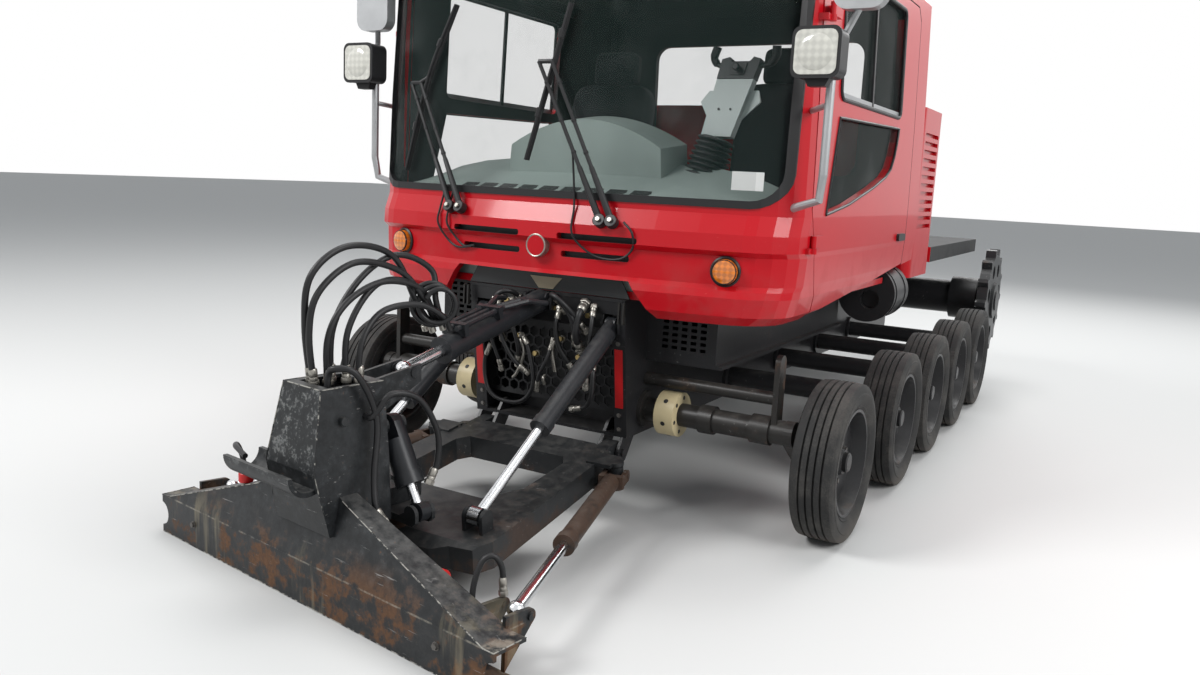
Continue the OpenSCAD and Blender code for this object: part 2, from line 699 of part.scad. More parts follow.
// Behind the cab
house_y = cab_rear + 8;
house_end = house_y + house_deep;
module rear_house() {
    color("#c8102a") machine() difference() {
        translate([0, 0, hull_top]) linear_extrude(house_top - hull_top)
            polygon(rounded([-cab_half + 35, house_y], [cab_half - 35, house_end], 60));
        for (s = [left, right], k = [0:11])
            translate([s * (cab_half - 35), house_y + 90, 1180 + k * 46]) translate([-20, 0, 0])
                cube([40, house_deep - 180, 22]);
    }
}
module rear_body() {
    rear_house();
    load_deck();
}
module load_deck() {
    t = 40;
    color("#2a2a2c") machine() {
        difference() {
            box([-deck_half, house_end, deck_z - t], [deck_half, hull_rear + 30, deck_z]);
            box([-bay_half, bay_front, deck_z - t - 1], [bay_half, bay_rear, deck_z + 1]);
        }
        difference() {
            box([-bay_half - plate, bay_front - plate, hull_top], [bay_half + plate, bay_rear + plate,
                deck_z - t]);
            box([-bay_half, bay_front, hull_top - 1], [bay_half, bay_rear, deck_z]);
        }
        both_sides() {
            for (x = [150, 244])
                box([x, lid_hinge[0] - 14, deck_z - 10], [x + 26, lid_hinge[0] + 14, lid_hinge[1] + 11]);
            translate([0, lid_hinge[0], lid_hinge[1]]) across(hinge_r, 150, 270);
        }
        for (y = [house_end + 40, hull_rear - 60]) box([-hull_half, y, hull_top], [hull_half, y + 60,
            deck_z - t]);
        both_sides() box([deck_half - 24, house_end, deck_z - 90], [deck_half, hull_rear + 30, deck_z - t]);
    }
}
lid_gap = 6;
lid_t = 24;
lid_hinge = [bay_front - 34, deck_z + 20];
module engine_lid() {
    color("#c8102a") machine() {
        box([-bay_half - 40, bay_front - 10, deck_z + 4], [bay_half + 40, bay_rear + 40,
            deck_z + 4 + lid_t]);
        both_sides() difference() {
            union() {
                translate([0, lid_hinge[0], lid_hinge[1]]) across(16, 180, 240);
                box([180, lid_hinge[0], deck_z + 6], [240, bay_front, deck_z + 26]);
            }
            translate([0, lid_hinge[0], lid_hinge[1]]) across(hinge_r + fit, 170, 250);
        }
    }
}
module engine_block() {
    color("#55585a") machine() box([-250, bay_front + 60, belly_z + plate], [250, bay_rear - 80, 960]);
}
module air_filter() {
    y = 1420;
    color("#191919") machine() {
        translate([drum[0], y, drum[1]]) rotate([-90, 0, 0]) difference() {
            union() {
                cylinder(r = drum_r - 4, h = 330);
                for (z = [0, 54, 250]) translate([0, 0, z]) cylinder(r = drum_r, h = 24);
            }
            translate([20, 30, -1]) cylinder(r = 50, h = 40);
        }
        box([hull_half - plate, 1600, drum[1] - 40], [drum[0] - drum_r + 30, 1660, drum[1] + 40]);
    }
}
drum = [855, 838];
drum_r = 150;
module front_axle() {
    color("#2a2320") machine() both_sides() {
        translate([0, -axle_lead, axle_z]) {
            across(axle_r + 30, hull_half, hull_half + 16);
            across(axle_r, hull_half, axle_end);
            across(axle_r + 10, 640, 700);
            across(axle_r + 10, 860, 940);
        }
        translate([0, -axle_lead, 560]) across(26, hull_half, 960);
        arm([-axle_lead, axle_z], [-axle_lead, 700], 34, 944, 966);
        wheel_arm(0);
    }
}
module guide_rollers() {
    color("#dccf9c") machine() both_sides() translate([roller_x - roller_w / 2, -axle_lead,
        axle_z]) rotate([0, 90, 0])
        difference() {
            cylinder(r = roller_r, h = roller_w);
            translate([0, 0, -1]) cylinder(r = axle_r + fit, h = roller_w + 2);
        }
}
module sprocket(side) {
    step = 360 / teeth;
    root = sprocket_r - 46;
    color("#232323") machine() translate([side * sprocket_x, sprocket_y, sprocket_z]) rotate([0, 90,
        0]) difference() {
        union() {
            translate([0, 0, -34]) linear_extrude(68) polygon([for (k = [0:teeth - 1], c = [[0, root],
                [0.3, root], [0.42, sprocket_r], [0.58, sprocket_r], [0.7, root]])
                c[1] * [cos((k + c[0]) * step), sin((k + c[0]) * step)]]);
            translate([0, 0, -50]) cylinder(r = 130, h = 100);
        }
        translate([0, 0, -60]) cylinder(r = 70 + fit, h = 120);
        for (k = [0:6]) rotate(k * 360 / 7) translate([230, 0, -60]) cylinder(r = 48, h = 120);
    }
}

// Rear lift
// Radius of the bores for what is towed
hook_r = 25;
module rear_lift() {
    y1 = rear_pivot[1];
    color("#1d1d1f") machine() {
        both_sides() {
            difference() {
                arm([y1, rear_pivot[2]], [y1 + rear_reach, 520], 50, rear_half - eye_half,
                    rear_half + eye_half);
                translate([0, y1, rear_pivot[2]]) across(pin_r + fit, rear_half - 40, rear_half + 40);
                translate([0, y1 + rear_reach, 520]) across(hook_r, rear_half - 40, rear_half + 40);
            }
            for (x = [rear_x - ear_gap - ear_t, rear_x + ear_gap]) arm([rear_eye[1], rear_eye[2]],
                [y1 + 335, 524], 28, x, x + ear_t);
        }
        translate([0, y1 + 340, 520]) across(36, -rear_half, rear_half);
    }
}

// Push frame: a flat-topped box frame with a round seat for the cradle
module push_frame() {
    h = frame_t / 2;
    L = frame_len;
    back = 372;
    outer = 412;
    reach = 56;
    fall = 0.4;
    color("#20211f") machine() translate([0, pivot_y, frame_z]) rotate([frame_tilt, 0, 0]) difference() {
        union() {
            translate([0, 0, -h]) linear_extrude(frame_t) difference() {
                polygon([[-back, -110], [-270, -60], [270, -60], [back, -110], [outer, -L - 20], [380,
                    -L - 88],
                         [290, -L - 96], [230, -L - 126], [-230, -L - 126], [-290, -L - 96], [-380,
                             -L - 88], [-outer, -L - 20]]);
                polygon([[-230, -240], [230, -240], [265, -290], [265, -560], [180, -700], [-180, -700],
                    [-265, -560], [-265, -290]]);
            }
            both_sides() {
                arm([0, 0], [-150, 0], h, lift_half - 30, lift_half + 30);
                for (x = [lift_half - ear_gap - ear_t, lift_half + ear_gap])
                    arm([-L + clevis_back, clevis_up], [-L + clevis_back, h], 30, x, x + ear_t);
                for (z = [-reach, reach - ear_t]) {
                    translate([swing_head[0], swing_head[1], z]) cylinder(r = 30, h = ear_t);
                    box([back - 30, swing_head[1] - 50, z], [swing_head[0], swing_head[1] + 50, z + ear_t]);
                }
                box([back - 30, swing_head[1] - 50, -reach], [back - 8, swing_head[1] + 50, reach]);
                translate([swing_head[0], swing_head[1], -reach]) cylinder(r = pin_r, h = 2 * reach);
            }
        }
        translate([0, -L, -h - 1]) cylinder(r = cradle_r + 6, h = frame_t + 2);
        // the front edge falls away below the carrier
        from_side(-outer - 10, outer + 10)
            polygon([[-L - 50, h + 20 * fall], [-L - 50, h + 60], [-L - 150, h + 60], [-L - 150,
                h - 80 * fall]]);
        both_sides() {
            across(pin_r + fit, lift_half - 40, lift_half + 40);
            translate([0, -L, 0]) across(pin_r + fit, cradle_r, cradle_r + 90);
        }
    }
}
// A sleeve on the frame's upright pin with two stubs, on which a swing cylinder nods
module swing_yoke(side) {
    p = swing_pin(side);
    q = swing_end(side);
    v = [q[0] - p[0], (q[1] - p[1]) * cos(frame_tilt) + (q[2] - p[2]) * sin(frame_tilt)];
    color("#2c2c2c") machine() translate(p) rotate([frame_tilt, 0, 0]) rotate([0, 0, atan2(v[1],
        v[0])]) difference() {
        union() {
            translate([0, 0, -38]) cylinder(r = yoke_r, h = 76);
            rotate([90, 0, 0]) translate([0, 0, -yoke_r - 22]) cylinder(r = stub_r, h = 2 * yoke_r + 44);
        }
        translate([0, 0, -40]) cylinder(r = pin_r + fit, h = 80);
    }
}
yoke_r = 28;
stub_r = 12;
// Where a swing cylinder nods on its yoke, as a frame of axes: along the cylinder, level across, upwards
module on_yoke(side) {
    p = swing_pin(side);
    q = swing_end(side);
    u = (q - p) / norm(q - p);
    n = [0, -sin(frame_tilt), cos(frame_tilt)];
    c = cross(n, u) / norm(cross(n, u));
    w = cross(u, c);
    multmatrix([[u[0], c[0], w[0], p[0]], [u[1], c[1], w[1], p[1]], [u[2], c[2], w[2], p[2]], [0, 0, 0,
        1]]) children();
}
module pivot_cradle() {
    color("#3a3733") machine() translate([0, ball_y, ball_z]) rotate([frame_tilt, 0, 0]) {
        difference() {
            intersection() {
                sphere(r = cradle_r);
                box([-200, -200, -34], [200, 200, 34]);
            }
            sphere(r = ball_r + 0.5);
        }
        both_sides() across(pin_r, cradle_r - 3, cradle_r + 80);
    }
}
module pivot_ball() {
    color("#4a4a4a") machine() translate([0, ball_y, ball_z]) rotate([0, 0, -swing_rest]) difference() {
        intersection() {
            sphere(r = ball_r);
            box([-100, -100, -56], [100, 100, 56]);
        }
        translate([0, 0, -70]) cylinder(r = 30 + fit, h = 140);
    }
}
module swing_post() {
    post = 60;
    color("#2b2b2b") machine() translate([0, ball_y, ball_z]) rotate([0, 0, -swing_rest]) {
        translate([0, 0, -54]) cylinder(r = 30, h = 54 + post);
        translate([0, 0, 57]) cylinder(r = 58, h = seat_z - ball_z - 57);
        translate([0, 0, post]) cylinder(r = post_r, h = seat_z + seat_h - ball_z - post + 14);
        // arm that carries the tilt cylinder's foot
        box([0, -tilt_eye[1] - ear_gap - 8, 87], [tilt_eye[0] - 36, -20, seat_z - ball_z - 2]);
        for (y = [-tilt_eye[1] - ear_gap - ear_t, -tilt_eye[1] + ear_gap])
            translate([0, y, 0]) from_front(0, ear_t) polygon(concat([[tilt_eye[0] - 62, 90],
                [tilt_eye[0] - 62, 108]],
                arc([tilt_eye[0], tilt_eye[2] - ball_z], 28, 180, 0, 8), [[tilt_eye[0] + 28, 104],
                    [tilt_eye[0] + 12, 90]]));
    }
}
seat_z = 262;
seat_h = 60;
post_r = 40;
// Blade carrier: gabled beam, tower, brackets for the swing cylinders
module blade_carrier() {
    f = beam_reach;
    b = beam_half;
    ridge = 372;
    back = 120;
    color("#26262a") machine() translate([0, ball_y, 0]) rotate([0, 0, -swing_rest]) {
        // lower channel
        difference() {
            box([-b, -f, 0], [b, -f + 125, beam_h]);
            box([-b - 1, -f + sheet, sheet], [b + 1, -f + 126, beam_h - sheet]);
            for (s = [left, right]) translate([s * (b + 4), -f - 1, beam_h * 0.5]) rotate([-90, 0,
                0]) cylinder(r = 44, h = sheet + 2);
        }
        // gable over it
        difference() {
            gable(0, ridge, f, back);
            gable(sheet, ridge, f, back);
        }
        tower();
        both_sides() swing_bracket();
    }
}
module gable(in, ridge, f, back) {
    b = beam_half - 40;
    intersection() {
        from_front(-f - 1, -f + back + (in > 0 ? 1 : 0))
            polygon([[-b + in * 3, beam_h - (in > 0 ? 1 : 0)], [b - in * 3, beam_h - (in > 0 ? 1 : 0)],
                [120, ridge - in], [-120, ridge - in]]);
        from_side(-b, b) polygon([[-f + in, beam_h - 1], [-f + back + 2, beam_h - 1], [-f + back + 2,
            ridge], [-f + 56 + in, ridge]]);
    }
}
module tower() {
    f = beam_reach;
    difference() {
        union() {
            tower_form(0);
            trough();
        }
        tower_form(sheet);
        // the hoses go in through the closed top
        box([-70, -360, tower_top - sheet - 2], [80, -205, tower_top + 1]);
    }
    // seat on the swing post
    difference() {
        union() {
            translate([0, 0, seat_z]) cylinder(r = 66, h = seat_h);
            box([-66, -tower_back - 8, seat_z], [66, 0, seat_z + seat_h]);
        }
        translate([0, 0, seat_z - 1]) cylinder(r = post_r + fit, h = seat_h + 2);
    }
    // ears of the top link, with stubs towards its ball
    for (s = [left, right]) {
        from_side(min(s * 44, s * 58), max(s * 44, s * 58)) polygon([[-tower_back - 2,
            top_eye[2] - 130], [-top_eye[1] + 28, top_eye[2] - 32],
            [-top_eye[1] + 28, top_eye[2] + 28], [-tower_back - 2, top_eye[2] - 2]]);
        translate([0, -top_eye[1], top_eye[2]]) across(pin_r, min(s * 37, s * 62), max(s * 37, s * 62));
    }
    // ears of the tilt cylinder's head
    for (y = [-tilt_head[1] - ear_gap - ear_t, -tilt_head[1] + ear_gap])
        translate([0, y, 0]) from_front(0, ear_t) polygon(concat([[tilt_head[0] - 60,
            tilt_head[2] + 20], [tilt_head[0] - 60, tilt_head[2] - 20]],
            arc([tilt_head[0], tilt_head[2]], 30, 240, 420, 8)));
    box([tilt_head[0] - 60, -tower_back - 2, tilt_head[2] - 20], [tilt_head[0] - 44,
        -tilt_head[1] + ear_gap + ear_t, tilt_head[2] + 20]);
}
tower_back = 160;
// How far the tower's front stands out at its knee
tower_knee = 32;
// Half a pipe across the tower's front, open upwards
module trough() {
    r = 70;
    z = 455;
    difference() {
        translate([0, -beam_reach - 42, z]) across(r, -240, 112);
        translate([0, -beam_reach - 42, z]) across(r - 15, -241, 113);
        box([-250, -beam_reach - 140, z], [120, -beam_reach + 60, z + 100]);
    }
}
module tower_form(in) {
    f = beam_reach;
    foot = 250;
    intersection() {
        from_front(-f - 60, -tower_back + (in > 0 ? -in : 0))
            polygon([[-140 + in, foot - (in > 0 ? 1 : 0)], [140 - in, foot - (in > 0 ? 1 : 0)],
                [126 - in, 460], [tower_half - in, tower_top - in],
                     [-tower_half + in, tower_top - in], [-126 + in, 460]]);
        from_side(-200, 200) polygon([[-f + 14 + in, foot - 2], [-f - tower_knee + in, 452],
            [-f + 12 + in, tower_top + 2],
            [-tower_back, tower_top + 2], [-tower_back, foot - 2]]);
    }
}
module swing_bracket() {
    e = swing_eye;
    room = swing_ball + 16;
    for (x = [e[0] - room - ear_t, e[0] + room])
        from_side(x, x + ear_t) polygon(concat([[-beam_reach + 110, 20], [-beam_reach + 110, e[2] + 30]],
            arc([-e[1] - 4, e[2]], 24, 90, -60, 8)));
    for (s = [left, right])
        translate([0, -e[1], e[2]]) across(13, min(e[0] + s * (room - 1), e[0] + s * (room + ear_t + 6)),
            max(e[0] + s * (room - 1), e[0] + s * (room + ear_t + 6)));
}
swing_ball = 27;
// Swing to either side of where the carrier was left
swing_low = -11;
swing_high = 27;
// End of a swing cylinder's bore, from its pins, and of its barrel
bore_end = 110;
barrel_end = 640;
function swung(p, a) = let (q = swing_end(p)) [q[0] * cos(a) - (q[1] - ball_y) * sin(a),
    ball_y + q[0] * sin(a) + (q[1] - ball_y) * cos(a), q[2]];
// Shortest length of a swing cylinder between its pins
function shortest(side) = min([for (a = [swing_low, swing_high]) norm(swung(side, a) - swing_pin(side))]);

// Hydraulic cylinders. The barrel hangs on its head pin and the rod slides in it
module barrel(p, q, r, rod_r, len, turn = 0, half = eye_half) {
    along(p, q) rotate(turn) difference() {
        union() {
            cylinder(r = r, h = len);
            translate([0, 0, len - 40]) cylinder(r = r + 4, h = 40);
            rotate([90, 0, 0]) translate([0, 0, -half]) cylinder(r = pin_r + 18, h = 2 * half);
            cylinder(r = pin_r + 10, h = 60);
        }
        rotate([90, 0, 0]) translate([0, 0, -half - 30]) cylinder(r = pin_r + fit, h = 2 * half + 60);
        translate([0, 0, pin_r + 40]) cylinder(r = rod_r + fit, h = len);
        for (s = [left, right]) translate([-100, s > 0 ? half : -half - 100, -100]) cube([200, 100,
            pin_r + 36 + 100]);
    }
}
module ram(p, q, rod_r, back, turn = 0, half = eye_half) {
    L = norm(q - p);
    along(p, q) rotate(turn) {
        translate([0, 0, back]) cylinder(r = rod_r, h = L - back - pin_r);
        translate([0, 0, L]) rotate([90, 0, 0]) translate([0, 0, -half]) cylinder(r = pin_r + 14,
            h = 2 * half);
    }
}
// Hoses. Each row is one hose, as places across, from the axle back, and up, chosen by hand
hose_r = 10.5;
hose_foot = tower_top - 40;
loop_hoses = [
    [[-95, -1540, hose_foot], [-75, -1588, 880], [-45, -1590, 1040], [-15, -1470, 1125], [15, -1300, 1090],
     [40, -1208, 930], [48, -1140, 850]],
    [[-66, -1490, hose_foot], [-46, -1500, 870], [-20, -1410, 1020], [10, -1275, 1092], [50, -1150, 1040],
     [72, -1150, 940], [80, -1125, 860]],
    [[-10, -1480, hose_foot], [-12, -1470, 860], [10, -1370, 1000], [40, -1245, 1000], [22, -1200, 905],
        [12, -1135, 850]],
    [[24, -1460, hose_foot], [26, -1450, 820], [35, -1370, 915], [70, -1240, 932], [105, -1155, 890],
        [112, -1120, 840]]];
side_hoses = [
    [[8, -1575, hose_foot], [12, -1575, 735], [40, -1575, 762], [88, -1530, 742], [112, -1470, 600],
        [132, -1500, 425], [155, -1515, 330],
     [168, -1500, 290]],
    [[74, -1480, 600], [106, -1478, 606], [138, -1435, 672], [178, -1350, 650], [204, -1290, 540], [206,
        -1285, 440],
     [196, -1308, 376]]];
// A smooth line through points, with n steps from each to the next
function smooth(p, n) =
    let (m = len(p), q = concat([2 * p[0] - p[1]], p, [2 * p[m - 1] - p[m - 2]]))
    concat([for (i = [1:m - 1], k = [0:n - 1])
        let (t = k / n, a = q[i - 1], b = q[i], c = q[i + 1], d = q[i + 2])
        b + (c - a) * t / 2 + (2 * a - 5 * b + 4 * c - d) * t * t / 2 + (3 * b - a - 3 * c + d)
            * t * t * t / 2],
        [p[m - 1]]);
module front_hoses() {
    color("#181818") machine() {
        for (h = loop_hoses) pipe(smooth(h, 2), hose_r, 8);
        for (h = side_hoses) pipe(h, hose_r, 8);
        // block inside the tower that holds the hoses' feet
        translate([0, ball_y, 0]) rotate([0, 0, -swing_rest]) box([-87, -360, hose_foot - 22], [87,
            -200, hose_foot + 2]);
    }
}
// Hoses along the top link's barrel, through two clamps: place across on the barrel, and at the hull
module link_hoses() {
    rise = top_r + hose_r + 6;
    rotate(180) {
        for (h = [[-34, -104], [0, -62], [34, 100]])
            pipe([[30, h[1], 110], [rise, h[1] * 0.6 + h[0] * 0.4, 200], [rise, h[0], 300], [rise + 4,
                h[0], 585]], hose_r, 8);
        for (z = [330, 540]) translate([top_r - 14, -54, z]) cube([rise + hose_r + 20 - top_r, 108, 24]);
    }
}
module lift_barrels() { color("#242527") machine() both_sides() barrel(lift_head, lift_eye, lift_r,
    lift_rod_r, 600); }
module lift_rods() { color("#c9ced1") machine() both_sides() ram(lift_head, lift_eye, lift_rod_r, 330); }
module toplink_barrel() {
    e = on_carrier(top_eye);
    color("#1c1d1f") machine() {
        barrel(top_head, e, top_r, top_rod_r, 640, half = 40);
        along(top_head, e) link_hoses();
    }
}
module toplink_rod() {
    e = on_carrier(top_eye);
    L = norm(e - top_head);
    color("#c9ced1") machine() along(top_head, e) {
        translate([0, 0, 380]) cylinder(r = top_rod_r, h = L - 380);
        translate([0, 0, L]) sphere(r = 30);
    }
}
module tilt_cylinder() {
    color("#161616") machine() {
        barrel(on_carrier(tilt_head), on_carrier(tilt_eye), tilt_r, tilt_rod_r, 210, -swing_rest);
        ram(on_carrier(tilt_head), on_carrier(tilt_eye), tilt_rod_r, 110, -swing_rest);
    }
}
module swing_barrel(side) {
    color("#3a2f2b") machine() on_yoke(side) difference() {
        union() {
            translate([78, 0, 0]) rotate([0, 90, 0]) cylinder(r = swing_r, h = barrel_end - 78);
            translate([barrel_end - 40, 0, 0]) rotate([0, 90, 0]) cylinder(r = swing_r + 4, h = 40);
            for (s = [left, right]) {
                translate([0, s * (yoke_r + 12), 0]) rotate([90, 0, 0]) translate([0, 0,
                    -8]) cylinder(r = stub_r + 11, h = 16);
                box([0, s * (yoke_r + 12) - 8, -20], [80, s * (yoke_r + 12) + 8, 20]);
            }
            box([58, -yoke_r - 20, -24], [84, yoke_r + 20, 24]);
        }
        rotate([90, 0, 0]) translate([0, 0, -80]) cylinder(r = stub_r + fit, h = 160);
        translate([bore_end, 0, 0]) rotate([0, 90, 0]) cylinder(r = swing_rod_r + fit, h = barrel_end);
    }
}
module swing_rod(side) {
    L = norm(swing_end(side) - swing_pin(side));
    tail = bore_end + L - shortest(side) + 12;
    color("#b9b4ad") machine() on_yoke(side) {
        translate([tail, 0, 0]) rotate([0, 90, 0]) cylinder(r = swing_rod_r, h = L - tail);
        translate([L, 0, 0]) sphere(r = swing_ball);
    }
}
function swing_pin(side) = on_frame([side * swing_head[0], swing_head[1], 0]);
function swing_end(side) = on_carrier([side * swing_eye[0], swing_eye[1], swing_eye[2]]);
module rear_barrels() { color("#242527") machine() both_sides() barrel(rear_head, rear_eye, 34, 18, 250); }
module rear_rods() { color("#c9ced1") machine() both_sides() ram(rear_head, rear_eye, 18, 210); }

chassis();
front_hull();
cab_shell();
cab_glass();
window_seals();
door(left);  // door_left
door(right);  // door_right
door_glass(left);  // door_glass_left
door_glass(right);  // door_glass_right
cab_interior();
rails();
lamps();
wipers();
rear_body();
engine_lid();
engine_block();
front_axle();
guide_rollers();
sprocket(left);  // sprocket_left
sprocket(right);  // sprocket_right
rear_lift();
rear_barrels();
rear_rods();
push_frame();
pivot_cradle();
pivot_ball();
swing_post();
blade_carrier();
lift_barrels();
lift_rods();
toplink_barrel();
toplink_rod();
tilt_cylinder();
swing_yoke(left);  // swing_yoke_left
swing_yoke(right);  // swing_yoke_right
swing_barrel(left);  // swing_barrel_left
swing_barrel(right);  // swing_barrel_right
swing_rod(left);  // swing_rod_left
swing_rod(right);  // swing_rod_right
front_hoses();
tyre(left, 0);  // tyre_left_1
rim(left, 0);  // rim_left_1
tyre(left, 1);  // tyre_left_2
rim(left, 1);  // rim_left_2
tyre(left, 2);  // tyre_left_3
rim(left, 2);  // rim_left_3
tyre(left, 3);  // tyre_left_4
rim(left, 3);  // rim_left_4
tyre(left, 4);  // tyre_left_5
rim(left, 4);  // rim_left_5
tyre(right, 0);  // tyre_right_1
rim(right, 0);  // rim_right_1
tyre(right, 1);  // tyre_right_2
rim(right, 1);  // rim_right_2
tyre(right, 2);  // tyre_right_3
rim(right, 2);  // rim_right_3
tyre(right, 3);  // tyre_right_4
rim(right, 3);  // rim_right_4
tyre(right, 4);  // tyre_right_5
rim(right, 4);  // rim_right_5
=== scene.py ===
# %% [markdown]
# This script dresses a snow groomer that stands on its road wheels, with its tracks and its blade taken
# off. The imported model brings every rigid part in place. The script gives each part its finish and adds
# what is too fine for it: hose bundles, tyre ribs, bolts, seats, lenses, gaskets and wear.
# %% Load the machine
import math
import bmesh
import bpy
import numpy as np
from mathutils import Matrix, Vector


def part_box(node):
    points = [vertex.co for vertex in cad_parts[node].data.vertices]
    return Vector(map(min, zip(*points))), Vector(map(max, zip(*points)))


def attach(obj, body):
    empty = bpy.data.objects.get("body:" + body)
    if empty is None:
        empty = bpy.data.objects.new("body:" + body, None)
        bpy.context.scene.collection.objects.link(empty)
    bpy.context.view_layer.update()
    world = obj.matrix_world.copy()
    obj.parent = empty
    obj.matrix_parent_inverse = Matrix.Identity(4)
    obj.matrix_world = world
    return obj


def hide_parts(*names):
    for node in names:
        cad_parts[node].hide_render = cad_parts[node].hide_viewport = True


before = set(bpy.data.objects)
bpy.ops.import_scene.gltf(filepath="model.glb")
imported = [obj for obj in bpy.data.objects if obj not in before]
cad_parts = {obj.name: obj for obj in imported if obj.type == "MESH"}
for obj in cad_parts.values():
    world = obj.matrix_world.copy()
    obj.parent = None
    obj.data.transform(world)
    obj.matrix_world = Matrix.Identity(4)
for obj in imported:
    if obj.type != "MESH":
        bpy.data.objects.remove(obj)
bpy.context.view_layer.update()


def new_object(name, data):
    obj = bpy.data.objects.new(name, data)
    bpy.context.scene.collection.objects.link(obj)
    return obj


def middle_of(name):
    """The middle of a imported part's box."""
    return sum(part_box(name), Vector()) / 2


# %% [markdown]
# Places on the machine are easiest to say in millimetres from the first wheel's axle: X to the machine's
# left, Y to the rear, Z up from the ground. The scene itself is in metres with its origin in the middle of
# the floor plan, so one function turns the first into the second.
# %% Places on the machine
first_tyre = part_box("tyre_left_1")
axle_y = (first_tyre[0][1] + first_tyre[1][1]) / 2


def at(x, y, z):
    return Vector((x / 1000, y / 1000 + axle_y, z / 1000))


print("first axle at", round(axle_y, 3))

# %% [markdown]
# The camera stands at the height of a person's chest, close to the front left wheel, and looks a little
# down with a slight roll. The lens is a wide one, as on a telephone. All of it was fitted to the picture's
# lines.
# %% Camera
YAW, PITCH, ROLL = (math.radians(a) for a in (29.784, 9.478, 2.819))
FOCAL_PIXELS, PICTURE_WIDTH, SENSOR = 948.43, 1200, 36
forward = Vector((-math.sin(YAW) * math.cos(PITCH), math.cos(YAW) * math.cos(PITCH), -math.sin(PITCH)))
level = Vector((math.cos(YAW), math.sin(YAW), 0))
rise = level.cross(forward)
right = math.cos(ROLL) * level + math.sin(ROLL) * rise
up = -math.sin(ROLL) * level + math.cos(ROLL) * rise
camera_data = bpy.data.cameras.new("camera")
camera_data.sensor_width = SENSOR
camera_data.lens = SENSOR * FOCAL_PIXELS / PICTURE_WIDTH
camera = new_object("camera", camera_data)
turn = Matrix((right, up, -forward)).transposed().to_4x4()
camera.matrix_world = Matrix.Translation(at(2131, -3622, 1368)) @ turn
bpy.context.scene.camera = camera

# %% [markdown]
# Finishes are built from nodes. Writing them as sums and products is far easier to read than wiring each
# Math node by hand, so a small class wraps a socket and turns + - * / into nodes. One method adds any other
# node.
# %% Shader maths as Python expressions
class Wire:
    def __init__(self, mat, socket):
        self.mat = mat
        self.socket = socket

    def _math(self, operation, a, b=0.0):
        return self.mat.add("ShaderNodeMath", {"operation": operation}, {0: a, 1: b})

    def __add__(self, other):
        return self._math("ADD", self, other)

    def __radd__(self, other):
        return self._math("ADD", other, self)

    def __sub__(self, other):
        return self._math("SUBTRACT", self, other)

    def __rsub__(self, other):
        return self._math("SUBTRACT", other, self)

    def __mul__(self, other):
        return self._math("MULTIPLY", self, other)

    def __rmul__(self, other):
        return self._math("MULTIPLY", other, self)

    def step(self, low, high):
        """0 below low and 1 above high, with a smooth rise between them."""
        smooth = {"interpolation_type": "SMOOTHSTEP"}
        return self.mat.add("ShaderNodeMapRange", smooth, {0: self, 1: low, 2: high})

    def most(self, other):
        return self._math("MAXIMUM", self, other)

    def size(self):
        return self._math("ABSOLUTE", self)

    def wave(self):
        return self._math("SINE", self)


class Finish:
    """A material whose nodes are added from values and wires."""

    def __init__(self, name):
        self.data = bpy.data.materials.new(name)
        self.data.use_nodes = True
        self.tree = self.data.node_tree
        self.shader = self.tree.nodes["Principled BSDF"]
        self.out = self.tree.nodes["Material Output"]
        coords = self.tree.nodes.new("ShaderNodeTexCoord")
        self.place = Wire(self, coords.outputs["Object"])
        self.normal = Wire(self, coords.outputs["Normal"])
        axes = self.add("ShaderNodeSeparateXYZ", {}, {0: self.place}, None)
        self.x, self.y, self.z = (Wire(self, axes.outputs[i]) for i in range(3))

    def add(self, kind, settings, values, output=0):
        node = self.tree.nodes.new(kind)
        for key, value in settings.items():
            setattr(node, key, value)
        for key, value in values.items():
            socket = node.inputs[key]
            if isinstance(value, Wire):
                self.tree.links.new(value.socket, socket)
            else:
                socket.default_value = value
        return node if output is None else Wire(self, node.outputs[output])

    def noise(self, scale, detail=4.0, rough=0.55, where=None):
        values = {"Vector": where or self.place, "Scale": scale, "Detail": detail, "Roughness": rough}
        return self.add("ShaderNodeTexNoise", {}, values, "Fac")

    def stretched(self, sx, sy, sz):
        return self.add("ShaderNodeMapping", {}, {"Vector": self.place, "Scale": (sx, sy, sz)})

    def cells(self, scale):
        return self.add("ShaderNodeTexVoronoi", {}, {"Vector": self.place, "Scale": scale}, "Distance")

    def mix(self, factor, a, b):
        colour = [v if isinstance(v, Wire) else (*v, 1.0) for v in (a, b)]
        return self.add("ShaderNodeMix", {"data_type": "RGBA"}, {0: factor, 6: colour[0], 7: colour[1]}, 2)

    def bump(self, height, strength=0.3, distance=0.002):
        return self.add("ShaderNodeBump", {}, {"Strength": strength, "Distance": distance, "Height": height})

    def facing(self, way):
        """How much the surface faces along a direction, from -1 to 1."""
        return self.add("ShaderNodeVectorMath", {"operation": "DOT_PRODUCT"}, {0: self.normal, 1: way}, 1)

    def facing_up(self):
        return self.facing((0, 0, 1))

    def away_from(self, centre):
        """1 where the surface faces straight away from a point, -1 where it faces the point."""
        subtract, normalize = {"operation": "SUBTRACT"}, {"operation": "NORMALIZE"}
        offset = self.add("ShaderNodeVectorMath", subtract, {0: self.place, 1: tuple(centre)})
        way = self.add("ShaderNodeVectorMath", normalize, {0: offset})
        return self.facing(way)

    def set(self, **values):
        for key, value in values.items():
            socket = self.shader.inputs[key.replace("_", " ")]
            if isinstance(value, Wire):
                self.tree.links.new(value.socket, socket)
            elif isinstance(value, tuple) and len(value) == 3 and socket.type == "RGBA":
                socket.default_value = (*value, 1.0)
            else:
                socket.default_value = value
        return self.data


